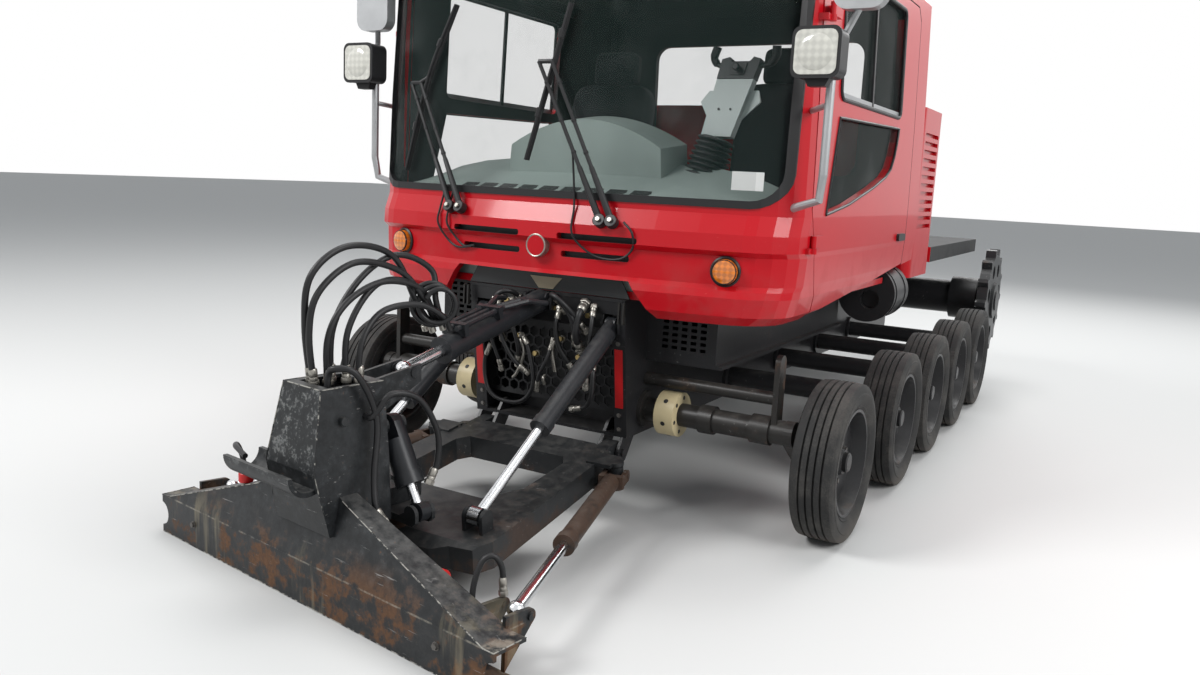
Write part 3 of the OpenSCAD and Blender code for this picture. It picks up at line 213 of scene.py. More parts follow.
# %% [markdown]
# The body is sprayed in one bright gloss red over glass-fibre panels. Under clear coat it shows a faint
# orange peel, dust that settles low down, and short dull scuffs. A coat layer gives the sharp highlights
# and the base stays a little rougher, which looks deeper than one glossy layer. On the cab and the doors
# the faces that look at the driver's place are painted near black, as painted shade for the dark inside of
# the cab, and behind the house the load deck is dark.
# %% Red body paint
def red_paint(name, dark=None):
    f = Finish(name)
    cloud = f.noise(2.2, 5.0)
    dust = (1.25 - f.z).step(0.0, 0.45) * f.noise(9.0, 6.0).step(0.42, 0.75) * 0.35
    scuff = f.noise(38.0, 8.0, 0.65, f.stretched(1.0, 0.25, 3.0)).step(0.66, 0.72) * 0.25
    base = f.mix(cloud, (0.44, 0.0015, 0.007), (0.54, 0.003, 0.011))
    base = f.mix(dust, base, (0.23, 0.085, 0.075))
    base = f.mix(scuff, base, (0.62, 0.11, 0.11))
    peel = f.noise(260.0, 2.0)
    rough = 0.32 + dust * 0.5 + scuff * 0.3
    coat = 0.28 - dust * 0.4
    if dark:
        # Painted shade: faces that look at the driver's place turn near black and dull, standing for the dark
        # inside of the cab.
        part = f.away_from(at(0, 700, 1650)).step(-0.30, -0.42)
        if dark == "deck":
            part = (f.y - at(0, 2331, 0).y).step(-0.001, 0.001)
        base = f.mix(part, base, (0.030, 0.031, 0.032))
        rough = rough + part * 0.35
        coat = coat * (1 - part)
    return f.set(Base_Color=base, Roughness=rough, Coat_Weight=coat, Coat_Roughness=0.06,
                 Normal=f.bump(peel, 0.06, 0.001), Specular_IOR_Level=0.2)


RED = red_paint("red paint")
RED_WITH_PAINTED_CAB_SHADE = red_paint("red paint and painted cab shade", "inside")
RED_REAR = red_paint("red paint and deck", "deck")

# %% [markdown]
# Frames and plates were painted satin black and have been worked hard. Wear follows a few sizes at once:
# broad grey rubbing, chips to bare metal and brown rust that creeps up from the ground. One function makes
# the whole family, with rust and rubbing as its two settings.
# %% Worn black steel
def black_steel(name, rust=0.15, rub=0.3, base=(0.016, 0.017, 0.018), ground=0.16):
    """rust and rub say how much of each, and ground how many metres up the rust creeps."""
    f = Finish(name)
    broad = f.noise(3.1, 6.0, 0.6)
    fine = f.noise(21.0, 9.0, 0.68)
    chips = f.noise(64.0, 7.0, 0.62)
    low = (ground - f.z).step(-0.14, 0.1)
    streak = f.noise(11.0, 6.0, 0.6, f.stretched(1.0, 1.0, 0.12))
    rusty = broad * 0.55 + fine * 0.3 + streak * 0.25 + low * 0.2
    rusty = rusty.step(0.66 - 0.16 * rust, 0.74 - 0.1 * rust) * min(1.0, 0.25 + rust)
    rubbed = (fine * 0.6 + broad * 0.4).step(0.56, 0.68) * rub
    chipped = chips.step(0.64, 0.67) * broad.step(0.45, 0.65) * min(1.0, rub * 1.6)
    colour = f.mix(fine, base, tuple(c * 1.7 for c in base))
    colour = f.mix(rubbed, colour, (0.060, 0.063, 0.067))
    rust_colour = f.mix(chips, (0.045, 0.024, 0.014), (0.150, 0.070, 0.034))
    colour = f.mix(rusty, colour, rust_colour)
    colour = f.mix(chipped, colour, (0.27, 0.27, 0.26))
    dust = f.facing_up().step(0.55, 1.0) * fine.step(0.35, 0.7) * 0.22
    colour = f.mix(dust, colour, (0.16, 0.15, 0.135))
    rough = 0.36 + rusty * 0.42 + rubbed * 0.1 + dust * 0.5
    return f.set(Base_Color=colour, Roughness=rough, Metallic=chipped * 0.5, Specular_IOR_Level=0.3,
                 Normal=f.bump(fine * 0.6 + chips * 0.25 - chipped * 0.3, 0.28, 0.003))


FRAME = black_steel("black frame paint", 0.12, 0.35)
HULL = black_steel("hull paint", 0.18, 0.2, (0.012, 0.012, 0.013), 0.0)
AXLE = black_steel("greasy axle steel", 0.35, 0.4, (0.016, 0.015, 0.014), 0.3)
BARREL = black_steel("cylinder paint", 0.05, 0.3, (0.013, 0.014, 0.016), 0.0)
RUSTY_BARREL = black_steel("rusty cylinder", 0.22, 0.6, (0.014, 0.014, 0.014), 0.3)

# %% [markdown]
# The blade carrier has been dragged through snow and gravel. It stays black above, with grey scuffs and
# long pale scratches across, rusts in blotches and runs along its foot, and its tower is rubbed grey in
# front. The line where the beam's top meets its face is painted pale in places.
# %% Worn paint of the carrier
BEAM_TOP = 142


def carrier_paint():
    f = Finish("worn carrier paint")
    broad = f.noise(3.4, 6.0, 0.6)
    fine = f.noise(24.0, 8.0, 0.66)
    grit = f.noise(85.0, 6.0, 0.6)
    runs = f.noise(10.0, 6.0, 0.6, f.stretched(1.0, 1.0, 0.10))
    scratch = f.noise(34.0, 6.0, 0.62, f.stretched(0.22, 1.0, 3.4)).step(0.64, 0.70) * broad.step(0.40, 0.62)
    low = (0.19 - f.z).step(-0.07, 0.08)
    blotch = (broad * 0.6 + fine * 0.4).step(0.50, 0.58)
    specks = (fine * 0.5 + grit * 0.5).step(0.60, 0.66) * 0.6
    rusty = (low * blotch * 0.85).most(specks * broad.step(0.42, 0.6))
    ahead = f.facing((0, -1, 0)).step(0.6, 0.9) * (f.z - 0.44).step(-0.02, 0.04)
    colour = f.mix(fine.step(0.3, 0.7), (0.009, 0.010, 0.011), (0.024, 0.026, 0.028))
    colour = f.mix((fine * 0.6 + broad * 0.4).step(0.54, 0.66) * 0.4, colour, (0.075, 0.08, 0.085))
    colour = f.mix(ahead * (fine * 0.5 + grit * 0.5).step(0.50, 0.60) * 0.7, colour, (0.20, 0.205, 0.20))
    colour = f.mix(rusty, colour, f.mix(grit, (0.055, 0.026, 0.013), (0.19, 0.090, 0.040)))
    colour = f.mix(low * runs.step(0.52, 0.66) * 0.45, colour, (0.30, 0.255, 0.17))
    colour = f.mix(scratch * 0.7, colour, (0.33, 0.32, 0.31))
    # A pale line is painted along the beam's top edge, in places.
    edge_line = (f.z - BEAM_TOP / 1000).size().step(0.004, 0.0015) * fine.step(0.42, 0.62) * 0.45
    colour = f.mix(edge_line, colour, (0.36, 0.33, 0.27))
    dust = f.facing_up().step(0.5, 0.95) * fine.step(0.32, 0.68) * 0.35
    colour = f.mix(dust, colour, (0.15, 0.145, 0.135))
    rough = 0.38 + rusty * 0.4 + dust * 0.4 + fine * 0.08
    return f.set(Base_Color=colour, Roughness=rough, Metallic=scratch * 0.4, Specular_IOR_Level=0.3,
                 Normal=f.bump(fine * 0.6 + grit * 0.3 - scratch * 0.4, 0.3, 0.003))


def edge_chips_and_highlight_finish():
    f = Finish("edge chips and painted highlight")
    grit = f.noise(46.0, 7.0, 0.65)
    broad = f.noise(7.0, 4.0)
    # The pale patches are bare metal and also a painted highlight along the edge.
    bare = (grit * 0.7 + broad * 0.3).step(0.46, 0.54)
    colour = f.mix(bare, (0.014, 0.015, 0.016), (0.33, 0.32, 0.29))
    return f.set(Base_Color=colour, Roughness=0.5 + bare * 0.15, Metallic=bare * 0.3, Specular_IOR_Level=0.3)


CARRIER = carrier_paint()
EDGE_CHIPS_AND_HIGHLIGHT = edge_chips_and_highlight_finish()

# %% [markdown]
# Piston rods are hard chrome: nearly a mirror, with a few brown specks. The other bare metals are one kind of
# grained steel in four tints.
# %% Chrome rods and plain steels
def rod_chrome():
    f = Finish("rod chrome")
    specks = f.cells(90.0).step(0.10, 0.05) * f.noise(9.0).step(0.5, 0.6)
    colour = f.mix(specks, (0.66, 0.67, 0.69), (0.16, 0.09, 0.05))
    rough = 0.13 + f.noise(40.0, 5.0) * 0.12 + specks * 0.5
    return f.set(Base_Color=colour, Metallic=1.0 - specks * 0.8, Roughness=rough)


def grey_steel(name, colour, rough=0.45, metal=0.8):
    f = Finish(name)
    grain = f.noise(120.0, 6.0)
    dark = f.noise(6.0, 6.0, 0.6)
    tint = f.mix(dark, tuple(c * 0.55 for c in colour), colour)
    return f.set(Base_Color=tint, Metallic=metal, Roughness=rough + grain * 0.2 - 0.1,
                 Normal=f.bump(grain, 0.08, 0.001))


CHROME = rod_chrome()
TUBE = grey_steel("rail tube", (0.50, 0.51, 0.52), 0.42, 0.75)
FITTING = grey_steel("zinc fittings", (0.42, 0.40, 0.36), 0.38, 0.85)
BOLT = grey_steel("bolt steel", (0.16, 0.15, 0.14), 0.5, 0.7)
BRASS = grey_steel("brass unions", (0.50, 0.38, 0.17), 0.38, 0.9)

# %% [markdown]
# Rubber and plastics: tyres that have gone grey with dust, soft black gaskets, hoses, moulded plastics with a
# fine grain, the seats' cloth, and the yellowed nylon of the guide rollers.
# %% Rubber and plastics
def tyre_rubber():
    f = Finish("tyre rubber")
    patch = f.noise(7.0, 7.0, 0.62)
    grit = f.noise(150.0, 5.0)
    dust = (patch * 0.7 + grit * 0.3).step(0.42, 0.68)
    low = (0.05 - f.z).step(-0.05, 0.05)
    colour = f.mix(dust * 0.75, (0.018, 0.018, 0.018), (0.085, 0.080, 0.074))
    colour = f.mix(low * 0.6, colour, (0.12, 0.105, 0.09))
    return f.set(Base_Color=colour, Roughness=0.72 + dust * 0.2, Specular_IOR_Level=0.3,
                 Normal=f.bump(grit + patch, 0.2, 0.002))


def plastic(name, colour, rough=0.45, grain=420.0, stain=0.25, bump=0.12):
    f = Finish(name)
    tiny = f.noise(grain, 2.0)
    broad = f.noise(5.0, 6.0, 0.6)
    tint = f.mix(broad.step(0.35, 0.75) * stain, colour, tuple(c * 0.45 for c in colour))
    return f.set(Base_Color=tint, Roughness=rough + tiny * 0.12 + broad * 0.12 - 0.1, Specular_IOR_Level=0.35,
                 Normal=f.bump(tiny, bump, 0.0008))


TYRE = tyre_rubber()
RIM = black_steel("rim paint", 0.12, 0.3, (0.014, 0.014, 0.015), 0.1)
SEAL = plastic("gasket rubber", (0.012, 0.012, 0.013), 0.4, 300.0, 0.1, 0.05)
HOSE = plastic("hose rubber", (0.011, 0.011, 0.012), 0.42, 900.0, 0.1, 0.1)
BLACK_PLASTIC = plastic("black plastic", (0.014, 0.014, 0.015), 0.42)
DASH_PLASTIC = plastic("dashboard plastic", (0.30, 0.36, 0.335), 0.5, 380.0, 0.2)
COLUMN_PLASTIC = plastic("column cover", (0.52, 0.58, 0.56), 0.4, 300.0, 0.1)
ROLLER = plastic("yellowed nylon", (0.62, 0.52, 0.31), 0.38, 90.0, 0.5)
RED_PLASTIC = plastic("red caps", (0.55, 0.012, 0.012), 0.35, 200.0, 0.1)
ENGINE = grey_steel("cast engine", (0.14, 0.15, 0.16), 0.6, 0.4)
CLOTH = plastic("seat cloth", (0.012, 0.012, 0.014), 0.85, 500.0, 0.15, 0.5)
WHITE = plastic("blank sticker", (0.78, 0.78, 0.76), 0.35, 100.0, 0.02, 0.02)
STRIP = plastic("red strips", (0.50, 0.010, 0.012), 0.42, 90.0, 0.35)
DARK_PANEL = plastic("dark panel", (0.035, 0.037, 0.038), 0.45)
BEIGE = plastic("bare plate", (0.42, 0.36, 0.25), 0.5, 80.0, 0.4)

# %% [markdown]
# The panes are clear safety glass with a green tint. A wholly clear pane looks as if it weren't there, so a
# thin veil of dust sits on it, a little rougher and paler than the rest. Lenses are ribbed both ways.
# %% Glass and lenses
def pane(name, tint=(0.035, 0.070, 0.062), veil=0.04):
    f = Finish(name)
    film = f.noise(4.0, 7.0, 0.6).step(0.45, 0.85)
    alpha = 0.09 + film * veil
    colour = f.mix(film * 0.5, tint, (0.30, 0.34, 0.33))
    return f.set(Base_Color=colour, Roughness=0.03 + film * 0.05, Alpha=alpha, Specular_IOR_Level=0.4)


def lens(name, colour, ribs=260.0, glow=0.0, contrast=0.6):
    f = Finish(name)
    rib = (f.x * ribs).wave() * 0.5 + (f.z * ribs).wave() * 0.5
    shade = f.mix(rib.step(-0.6, 0.9), tuple(c * contrast for c in colour), colour)
    return f.set(Base_Color=shade, Roughness=0.12, Coat_Weight=1.0, Normal=f.bump(rib, 0.25, 0.002),
                 Emission_Strength=glow, Emission_Color=colour)


GLASS = pane("window glass")
AMBER = lens("amber lens", (0.75, 0.20, 0.012), 300.0, 0.05)
CLEAR = lens("clear lens", (0.62, 0.61, 0.55), 240.0, 0.04, 0.82)

# %% [markdown]
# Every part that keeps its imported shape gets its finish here, by name. Parts that aren't named wear frame
# paint.
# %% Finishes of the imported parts
wearers = [
    (HULL, ["chassis", "front_hull"]),
    (RED, ["engine_lid"]),
    (RED_WITH_PAINTED_CAB_SHADE, ["cab_shell", "door_left", "door_right"]),
    (RED_REAR, ["rear_body"]),
    (GLASS, ["cab_glass", "door_glass_left", "door_glass_right"]),
    (SEAL, ["window_seals"]),
    (HOSE, ["front_hoses"]),
    (ENGINE, ["engine_block"]),
    (AXLE, ["front_axle", "pivot_cradle", "pivot_ball"]),
    (ROLLER, ["guide_rollers"]),
    (TUBE, ["rails"]),
    (BLACK_PLASTIC, ["lamps", "wipers"]),
    (DASH_PLASTIC, ["cab_interior"]),
    (CARRIER, ["blade_carrier"]),
    (RUSTY_BARREL, ["swing_barrel_left", "swing_barrel_right"]),
    (BARREL, ["lift_barrels", "toplink_barrel", "rear_barrels", "tilt_cylinder"]),
    (CHROME, ["lift_rods", "toplink_rod", "swing_rod_left", "swing_rod_right", "rear_rods"]),
]
finishes = {name: finish for finish, names in wearers for name in names}
by_kind = {"tyre": TYRE, "rim": RIM}
for name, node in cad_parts.items():
    kind = name.split("_")[0]
    for place in node.material_slots:
        place.material = finishes.get(name) or by_kind.get(kind, FRAME)
print("dressed", len(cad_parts), "packed parts")

# %% [markdown]
# New pieces come from a handful of makers. A piece is always a plain mesh at the origin with its place in
# its points, shaded smooth except across sharp edges, and it rides on the body that carries it.
# %% Makers of meshes
def piece(name, part, body, sharp=35):
    """One part, which is its points, its faces and its finish, becomes a piece."""
    points, faces, finish = part
    mesh = bpy.data.meshes.new(name)
    mesh.from_pydata([tuple(p) for p in points], [], faces)
    work = bmesh.new()
    work.from_mesh(mesh)
    bmesh.ops.remove_doubles(work, verts=work.verts, dist=1e-6)
    bmesh.ops.recalc_face_normals(work, faces=work.faces)
    work.to_mesh(mesh)
    work.free()
    return dress(new_object(name, mesh), finish, body, sharp)


def dress(obj, finish, body, sharp=35):
    if finish is not None:
        obj.data.materials.clear()
        obj.data.materials.append(finish)
    for face in obj.data.polygons:
        face.use_smooth = True
    obj.data.set_sharp_from_angle(angle=math.radians(sharp))
    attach(obj, body)
    return obj


def joined(name, parts, body, sharp=35):
    """Several finished meshes become one piece that keeps its finishes."""
    work = bmesh.new()
    finishes_here = []
    for points, faces, finish in parts:
        if finish not in finishes_here:
            finishes_here.append(finish)
        verts = [work.verts.new(p) for p in points]
        for face in faces:
            made = work.faces.new([verts[i] for i in face])
            made.material_index = finishes_here.index(finish)
    bmesh.ops.remove_doubles(work, verts=work.verts, dist=1e-7)
    bmesh.ops.recalc_face_normals(work, faces=work.faces)
    mesh = bpy.data.meshes.new(name)
    work.to_mesh(mesh)
    work.free()
    for finish in finishes_here:
        mesh.materials.append(finish)
    return dress(new_object(name, mesh), None, body, sharp)


def frame_of(direction):
    """Three unit vectors at right angles, the last along the direction."""
    w = Vector(direction).normalized()
    u = w.cross(Vector((0.31, 0.57, 0.76))).normalized()
    return u, w.cross(u), w


def ring(centre, u, v, radius, count):
    """Points evenly round a circle, its radius in millimetres."""
    turns = [2 * math.pi * k / count for k in range(count)]
    return [centre + (u * math.cos(a) + v * math.sin(a)) * (radius / 1000) for a in turns]


def ring_faces(rows, sides):
    """Quads between rows of points that go round."""
    faces = []
    for i in range(rows - 1):
        for k in range(sides):
            j = (k + 1) % sides
            faces.append((i * sides + k, i * sides + j, (i + 1) * sides + j, (i + 1) * sides + k))
    return faces


def turned(profile, centre, axis, steps, finish):
    """Spins (radius, along) pairs, in millimetres, round an axis. An open profile gets flat ends."""
    u, v, w = frame_of(axis)
    points = []
    for r, along in profile:
        points += [p + w * (along / 1000) for p in ring(centre, u, v, r, steps)]
    faces = ring_faces(len(profile), steps)
    if profile[0] != profile[-1]:
        faces.append(tuple(range(steps)))
        faces.append(tuple(range((len(profile) - 1) * steps, len(profile) * steps)))
    else:
        points = points[:-steps]
        faces = [tuple(i % len(points) for i in f) for f in faces]
    return points, faces, finish


def smooth_path(points, steps=8):
    """A Catmull-Rom curve through the points."""
    p = [points[0] * 2 - points[1], *points, points[-1] * 2 - points[-2]]
    out = []
    for a, b, c, d in zip(p, p[1:], p[2:], p[3:]):
        for k in range(steps):
            t = k / steps
            bend = (2 * a - 5 * b + 4 * c - d) * t * t
            out.append(0.5 * (2 * b + (c - a) * t + bend + (3 * b - a - 3 * c + d) * t ** 3))
    out.append(p[-2])
    return out


def tube(path, radius, sides, finish):
    """Sweeps a ring along a path, without twist, and closes its ends. The radius is a number or a list."""
    n = len(path)
    radii = radius if isinstance(radius, list) else [radius] * n
    u = frame_of(path[1] - path[0])[0]
    points = []
    for i, p in enumerate(path):
        w = (path[min(i + 1, n - 1)] - path[max(i - 1, 0)]).normalized()
        u = (u - w * u.dot(w)).normalized()
        points += ring(p, u, w.cross(u), radii[i], sides)
    ends = [tuple(range(sides)), tuple(range((n - 1) * sides, n * sides))]
    return points, ring_faces(n, sides) + ends, finish


def slab(outline, thickness, place, finish):
    """A plate from outline pairs and a thickness in millimetres, put in place by a function of (a, b, c)."""
    n = len(outline)
    points = [place(a, b, 0) for a, b in outline] + [place(a, b, thickness) for a, b in outline]
    faces = [tuple(range(n)), tuple(range(n, 2 * n))]
    faces += [(i, (i + 1) % n, n + (i + 1) % n, n + i) for i in range(n)]
    return points, faces, finish


def standing(x, y, z):
    """For a slab that stands across the machine: a goes to its left, b up and c to the rear of a place."""
    return lambda a, b, c: at(x + a, y + c, z + b)


def round_rect(w, h, r, n=5):
    """An outline of half width w and half height h with corners of radius r."""
    out = []
    corners = ((w - r, -h + r, -90), (w - r, h - r, 0), (-w + r, h - r, 90), (-w + r, -h + r, 180))
    for cx, cy, start in corners:
        for k in range(n + 1):
            a = math.radians(start + 90 * k / n)
            out.append((cx + r * math.cos(a), cy + r * math.sin(a)))
    return out


# %% [markdown]
# The road wheels carry rib tyres: four grooves run round the tread, the shoulders are square and the
# sidewall bulges. A tyre is a solid of revolution, so its section is drawn once and spun. The imported tyre
# keeps the same outer size and stays behind, hidden.
# %% Rib tyres
GROOVES = 4
RIM_SHARE = 0.678


def tyre_section(width, outer):
    half = width / 2
    inner = outer * RIM_SHARE
    side = [(inner, half * 0.76), (inner + 12, half * 0.86), (inner + 16, half * 0.84),
            (inner + 44, half * 0.985), (inner + 62, half * 0.99), (inner + 66, half * 0.96),
            (outer - 26, half * 0.95), (outer - 12, half * 0.92), (outer - 4, half * 0.86)]
    tread = []
    rib = width * 0.80 / (GROOVES + 1)
    for k in range(GROOVES):
        c = half * 0.80 - rib * (k + 1)
        crown = outer - 2.5 * (c / half) ** 2
        tread += [(crown, c + 4.2), (outer - 12, c + 2.6), (outer - 12, c - 2.6), (crown, c - 4.2)]
    whole = side + tread + [(r, -a) for r, a in reversed(side)]
    return whole + [whole[0]]


for name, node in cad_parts.items():
    if not name.startswith("tyre"):
        continue
    low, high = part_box(name)
    section = tyre_section((high[0] - low[0]) * 1000, (high[2] - low[2]) / 2 * 1000)
    part = turned(section, middle_of(name), (1, 0, 0), 72, TYRE)
    made = piece(name.replace("tyre", "rib_tyre"), part, name.replace("tyre", "wheel"), 28)
    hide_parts(name)


# %% [markdown]
# Bolts sit in rings and rows. Geometry Nodes place them: points say where and which way each head faces, one
# hexagon head on its washer is instanced on them, and the result is realised as a plain mesh. Each road wheel
# gets six and a hub cap.
# %% Bolt heads by Geometry Nodes
def bolt_tree():
    tree = bpy.data.node_groups.new("bolt heads", "GeometryNodeTree")
    face = tree.interface
    face.new_socket("Geometry", in_out="INPUT", socket_type="NodeSocketGeometry")
    for label in ("Radius", "Height"):
        face.new_socket(label, in_out="INPUT", socket_type="NodeSocketFloat")
    face.new_socket("Finish", in_out="INPUT", socket_type="NodeSocketMaterial")
    face.new_socket("Geometry", in_out="OUTPUT", socket_type="NodeSocketGeometry")
    add = tree.nodes.new
    group_in, group_out = add("NodeGroupInput"), add("NodeGroupOutput")
    head, washer = add("GeometryNodeMeshCylinder"), add("GeometryNodeMeshCylinder")
    shift = add("GeometryNodeTransform")
    half, wide, thin = (add("ShaderNodeMath") for _ in range(3))
    both, spread = add("GeometryNodeJoinGeometry"), add("GeometryNodeInstanceOnPoints")
    real, paint = add("GeometryNodeRealizeInstances"), add("GeometryNodeSetMaterial")
    way, align = add("GeometryNodeInputNamedAttribute"), add("FunctionNodeAlignEulerToVector")
    vec = add("ShaderNodeCombineXYZ")
    head.inputs["Vertices"].default_value = 6
    washer.inputs["Vertices"].default_value = 14
    way.data_type = "FLOAT_VECTOR"
    way.inputs["Name"].default_value = "way"
    align.axis = "Z"
    for node, factor, source in ((half, 0.5, "Height"), (wide, 1.35, "Radius"), (thin, 0.3, "Height")):
        node.operation = "MULTIPLY"
        node.inputs[1].default_value = factor
        tree.links.new(group_in.outputs[source], node.inputs[0])
    links = ((group_in, "Radius", head, "Radius"), (group_in, "Height", head, "Depth"), (half, 0, vec, "Z"),
             (vec, 0, shift, "Translation"), (head, "Mesh", shift, "Geometry"), (wide, 0, washer, "Radius"),
             (thin, 0, washer, "Depth"), (shift, 0, both, 0), (washer, "Mesh", both, 0),
             (both, 0, spread, "Instance"), (group_in, "Geometry", spread, "Points"),
             (way, "Attribute", align, "Vector"), (align, "Rotation", spread, "Rotation"),
             (spread, 0, real, 0), (real, 0, paint, "Geometry"), (group_in, "Finish", paint, "Material"),
             (paint, 0, group_out, 0))
    for source, output, target, entry in links:
        tree.links.new(source.outputs[output], target.inputs[entry])
    return tree


BOLTS = bolt_tree()


def bolts(name, places, radius, height, finish, body):
    """places: (point, direction) pairs; the radius and the height are in millimetres."""
    mesh = bpy.data.meshes.new(name)
    mesh.from_pydata([tuple(p) for p, _ in places], [], [])
    attribute = mesh.attributes.new("way", "FLOAT_VECTOR", "POINT")
    for item, (_, way) in zip(attribute.data, places):
        item.vector = way
    holder = new_object(name + "_points", mesh)
    modifier = holder.modifiers.new("heads", "NODES")
    modifier.node_group = BOLTS
    wanted = {"Radius": radius / 1000, "Height": height / 1000, "Finish": finish}
    for item in BOLTS.interface.items_tree:
        if item.in_out == "INPUT" and item.name in wanted:
            modifier[item.identifier] = wanted[item.name]
    graph = bpy.context.evaluated_depsgraph_get()
    result = bpy.data.meshes.new_from_object(holder.evaluated_get(graph))
    bpy.data.objects.remove(holder)
    return dress(new_object(name, result), finish, body, 30)


HUB_FACE = 1168
BOLT_CIRCLE = 78
for side, sign in (("left", 1), ("right", -1)):
    outward = (sign, 0, 0)
    u, v, _ = frame_of(outward)
    for i in range(1, 6):
        centre = middle_of(f"rim_{side}_{i}")
        centre.x = sign * HUB_FACE / 1000
        places = [(p, outward) for p in ring(centre, u, v, BOLT_CIRCLE, 6)]
        bolts(f"wheel_bolts_{side}_{i}", places, 11, 11, BOLT, f"wheel_{side}_{i}")
        cap = turned([(40, 24), (40, 40), (34, 45), (0.5, 46)], centre, outward, 24, RIM)
        piece(f"hub_cap_{side}_{i}", cap, f"wheel_{side}_{i}")


# %% [markdown]
# The blade carrier stands turned on its ball, so its parts are placed by where they lie across the beam,
# how far ahead of the ball, and how high. A hose is a smooth tube with a crimped sleeve and a nut at an end
# that shows.
# %% Places on the carrier, and hoses
ball = middle_of("pivot_ball")
SWING = math.radians(8.4)
REACH, TOWER_TOP, TOWER_HALF, BEAM_HALF = 410, 702, 96, 860


def on_carrier(x, ahead, z):
    across = x * math.cos(SWING) - ahead * math.sin(SWING)
    along = -x * math.sin(SWING) - ahead * math.cos(SWING)
    return Vector((across / 1000, ball.y + along / 1000, z / 1000))


def fitting(place, way, r=10.5):
    """A crimped sleeve that starts at place and points along the hose, with a hexagon nut behind it."""
    sleeve = [(r * 0.9, 0), (r * 1.3, 1), (r * 1.32, 10), (r * 1.22, 12), (r * 1.32, 14), (r * 1.32, 34),
              (r * 1.02, 40)]
    nut = [(r * 1.55, -16), (r * 1.6, -14), (r * 1.6, -2), (r * 1.5, 0)]
    return [turned(sleeve, place, way, 16, FITTING), turned(nut, place, way, 6, FITTING)]


def hose(points, radius=10.5, ends=(True, True), steps=8):
    """A smooth hose, with a fitting at its first and its last point where ends says so."""
    path = smooth_path(points, steps)
    parts = [tube(path, radius, 12, HOSE)]
    for wanted, here, after in ((ends[0], path[0], path[1]), (ends[1], path[-1], path[-2])):
        if wanted:
            parts += fitting(here, after - here, radius)
    return parts


def can(place, way, radius, length, finish, steps=20, edge=2.0):
    """A short round bar with softened edges."""
    e = min(edge, radius * 0.4, length * 0.4)
    profile = [(radius - e, 0), (radius, e), (radius, length - e), (radius - e, length)]
    return [turned(profile, place, way, steps, finish)]


def on_machine(route):
    return [at(*p) for p in route]


# %% [markdown]
# Hoses leave the tower through its top in tall loops and fall onto the top link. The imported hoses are
# coarse, so smooth ones on the same routes stand for them. Two spare loops, two hoses to the tilt cylinder, a
# coil of thin hose and the black block under the bundle are added.
# %% Hose bundle on the tower
foot = 662
loops = [
    [(-95, -1540, foot), (-75, -1588, 880), (-45, -1590, 1040), (-15, -1470, 1125), (15, -1300, 1090),
     (40, -1208, 930), (48, -1140, 850)],
    [(-66, -1490, foot), (-46, -1500, 870), (-20, -1410, 1020), (10, -1275, 1092), (50, -1150, 1040),
     (72, -1150, 940), (80, -1125, 860)],
    [(-10, -1480, foot), (-12, -1470, 860), (10, -1370, 1000), (40, -1245, 1000), (22, -1200, 905),
     (12, -1135, 850)],
    [(24, -1460, foot), (26, -1450, 820), (35, -1370, 915), (70, -1240, 932), (105, -1155, 890),
     (112, -1120, 840)]]
spare = [
    [(-60, -1560, foot), (-48, -1596, 860), (-28, -1575, 990), (0, -1450, 1075), (30, -1280, 1040),
     (58, -1190, 940), (62, -1140, 862)],
    [(-36, -1530, foot), (-22, -1545, 840), (-8, -1480, 950), (20, -1350, 1010), (52, -1215, 985),
     (60, -1150, 905), (96, -1120, 850)]]
sides = [
    [(8, -1575, foot), (12, -1575, 735), (40, -1575, 762), (88, -1530, 742), (112, -1470, 600),
     (132, -1500, 425), (155, -1515, 330), (168, -1500, 290)],
    [(74, -1480, 600), (106, -1478, 606), (138, -1435, 672), (178, -1350, 650), (204, -1290, 540),
     (206, -1285, 440), (196, -1308, 376)]]
parts = []
for route in loops + spare:
    parts += hose(on_machine(route), 10.5, (False, False), 10)
    leaving, after = on_machine(route[:2])
    parts += fitting(leaving + (after - leaving).normalized() * 0.050, after - leaving)
for route in sides:
    parts += hose(on_machine(route), 10.5, (False, True), 8)
coil = []
for k in range(29):
    a = 2 * math.pi * k / 12 + 0.6
    r = 74 - k * 0.7
    coil.append(at(62 + r * 0.72 * math.cos(a) + k * 1.6, -1165 + r * 0.66 * math.cos(a),
                   925 + r * math.sin(a)))
parts += hose(coil, 9, (False, False), 3)
block = [(-87, 360), (87, 360), (87, 200), (-87, 200)]
parts.append(slab(block, 24, lambda a, b, c: on_carrier(a, b, foot - 22 + c), BLACK_PLASTIC))
for route in loops[:3]:
    parts += can(at(*route[-1]) + Vector((0, 0, -0.004)), (0.1, 0.3, -1), 12.5, 22, FITTING, 12)
bundle = joined("hose_bundle", parts, "blade_carrier")
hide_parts("front_hoses")

# %% [markdown]
# On every outer edge of the carrier the paint is knocked off. A thin bead follows the edge, pale where the
# metal is bare and black where paint is left; its pale is also a painted highlight, standing for the light
# the real edges catch.
# the metal is bare and black where paint is left, catches the light as the real edges do.
# %% Chipped edges of the carrier, with a painted edge highlight
knee = (126, REACH + 32, 456)
tower_corner = (TOWER_HALF, REACH - 12, TOWER_TOP)
beam_corner = (BEAM_HALF, REACH, BEAM_TOP)
slope_foot = (BEAM_HALF - 40, REACH, BEAM_TOP)
side_edges = [
    (knee, tower_corner, 2.0),
    ((135, REACH + 3, 325), knee, 1.6),
    (tower_corner, (TOWER_HALF, 162, TOWER_TOP), 1.8),
    (slope_foot, (150, REACH - 53, 360), 1.8),
    (beam_corner, slope_foot, 1.8),
    (beam_corner, (BEAM_HALF, REACH - 124, BEAM_TOP), 1.8)]


def bead(points, radius):
    return tube([on_carrier(*p) for p in points], radius, 8, EDGE_CHIPS_AND_HIGHLIGHT)


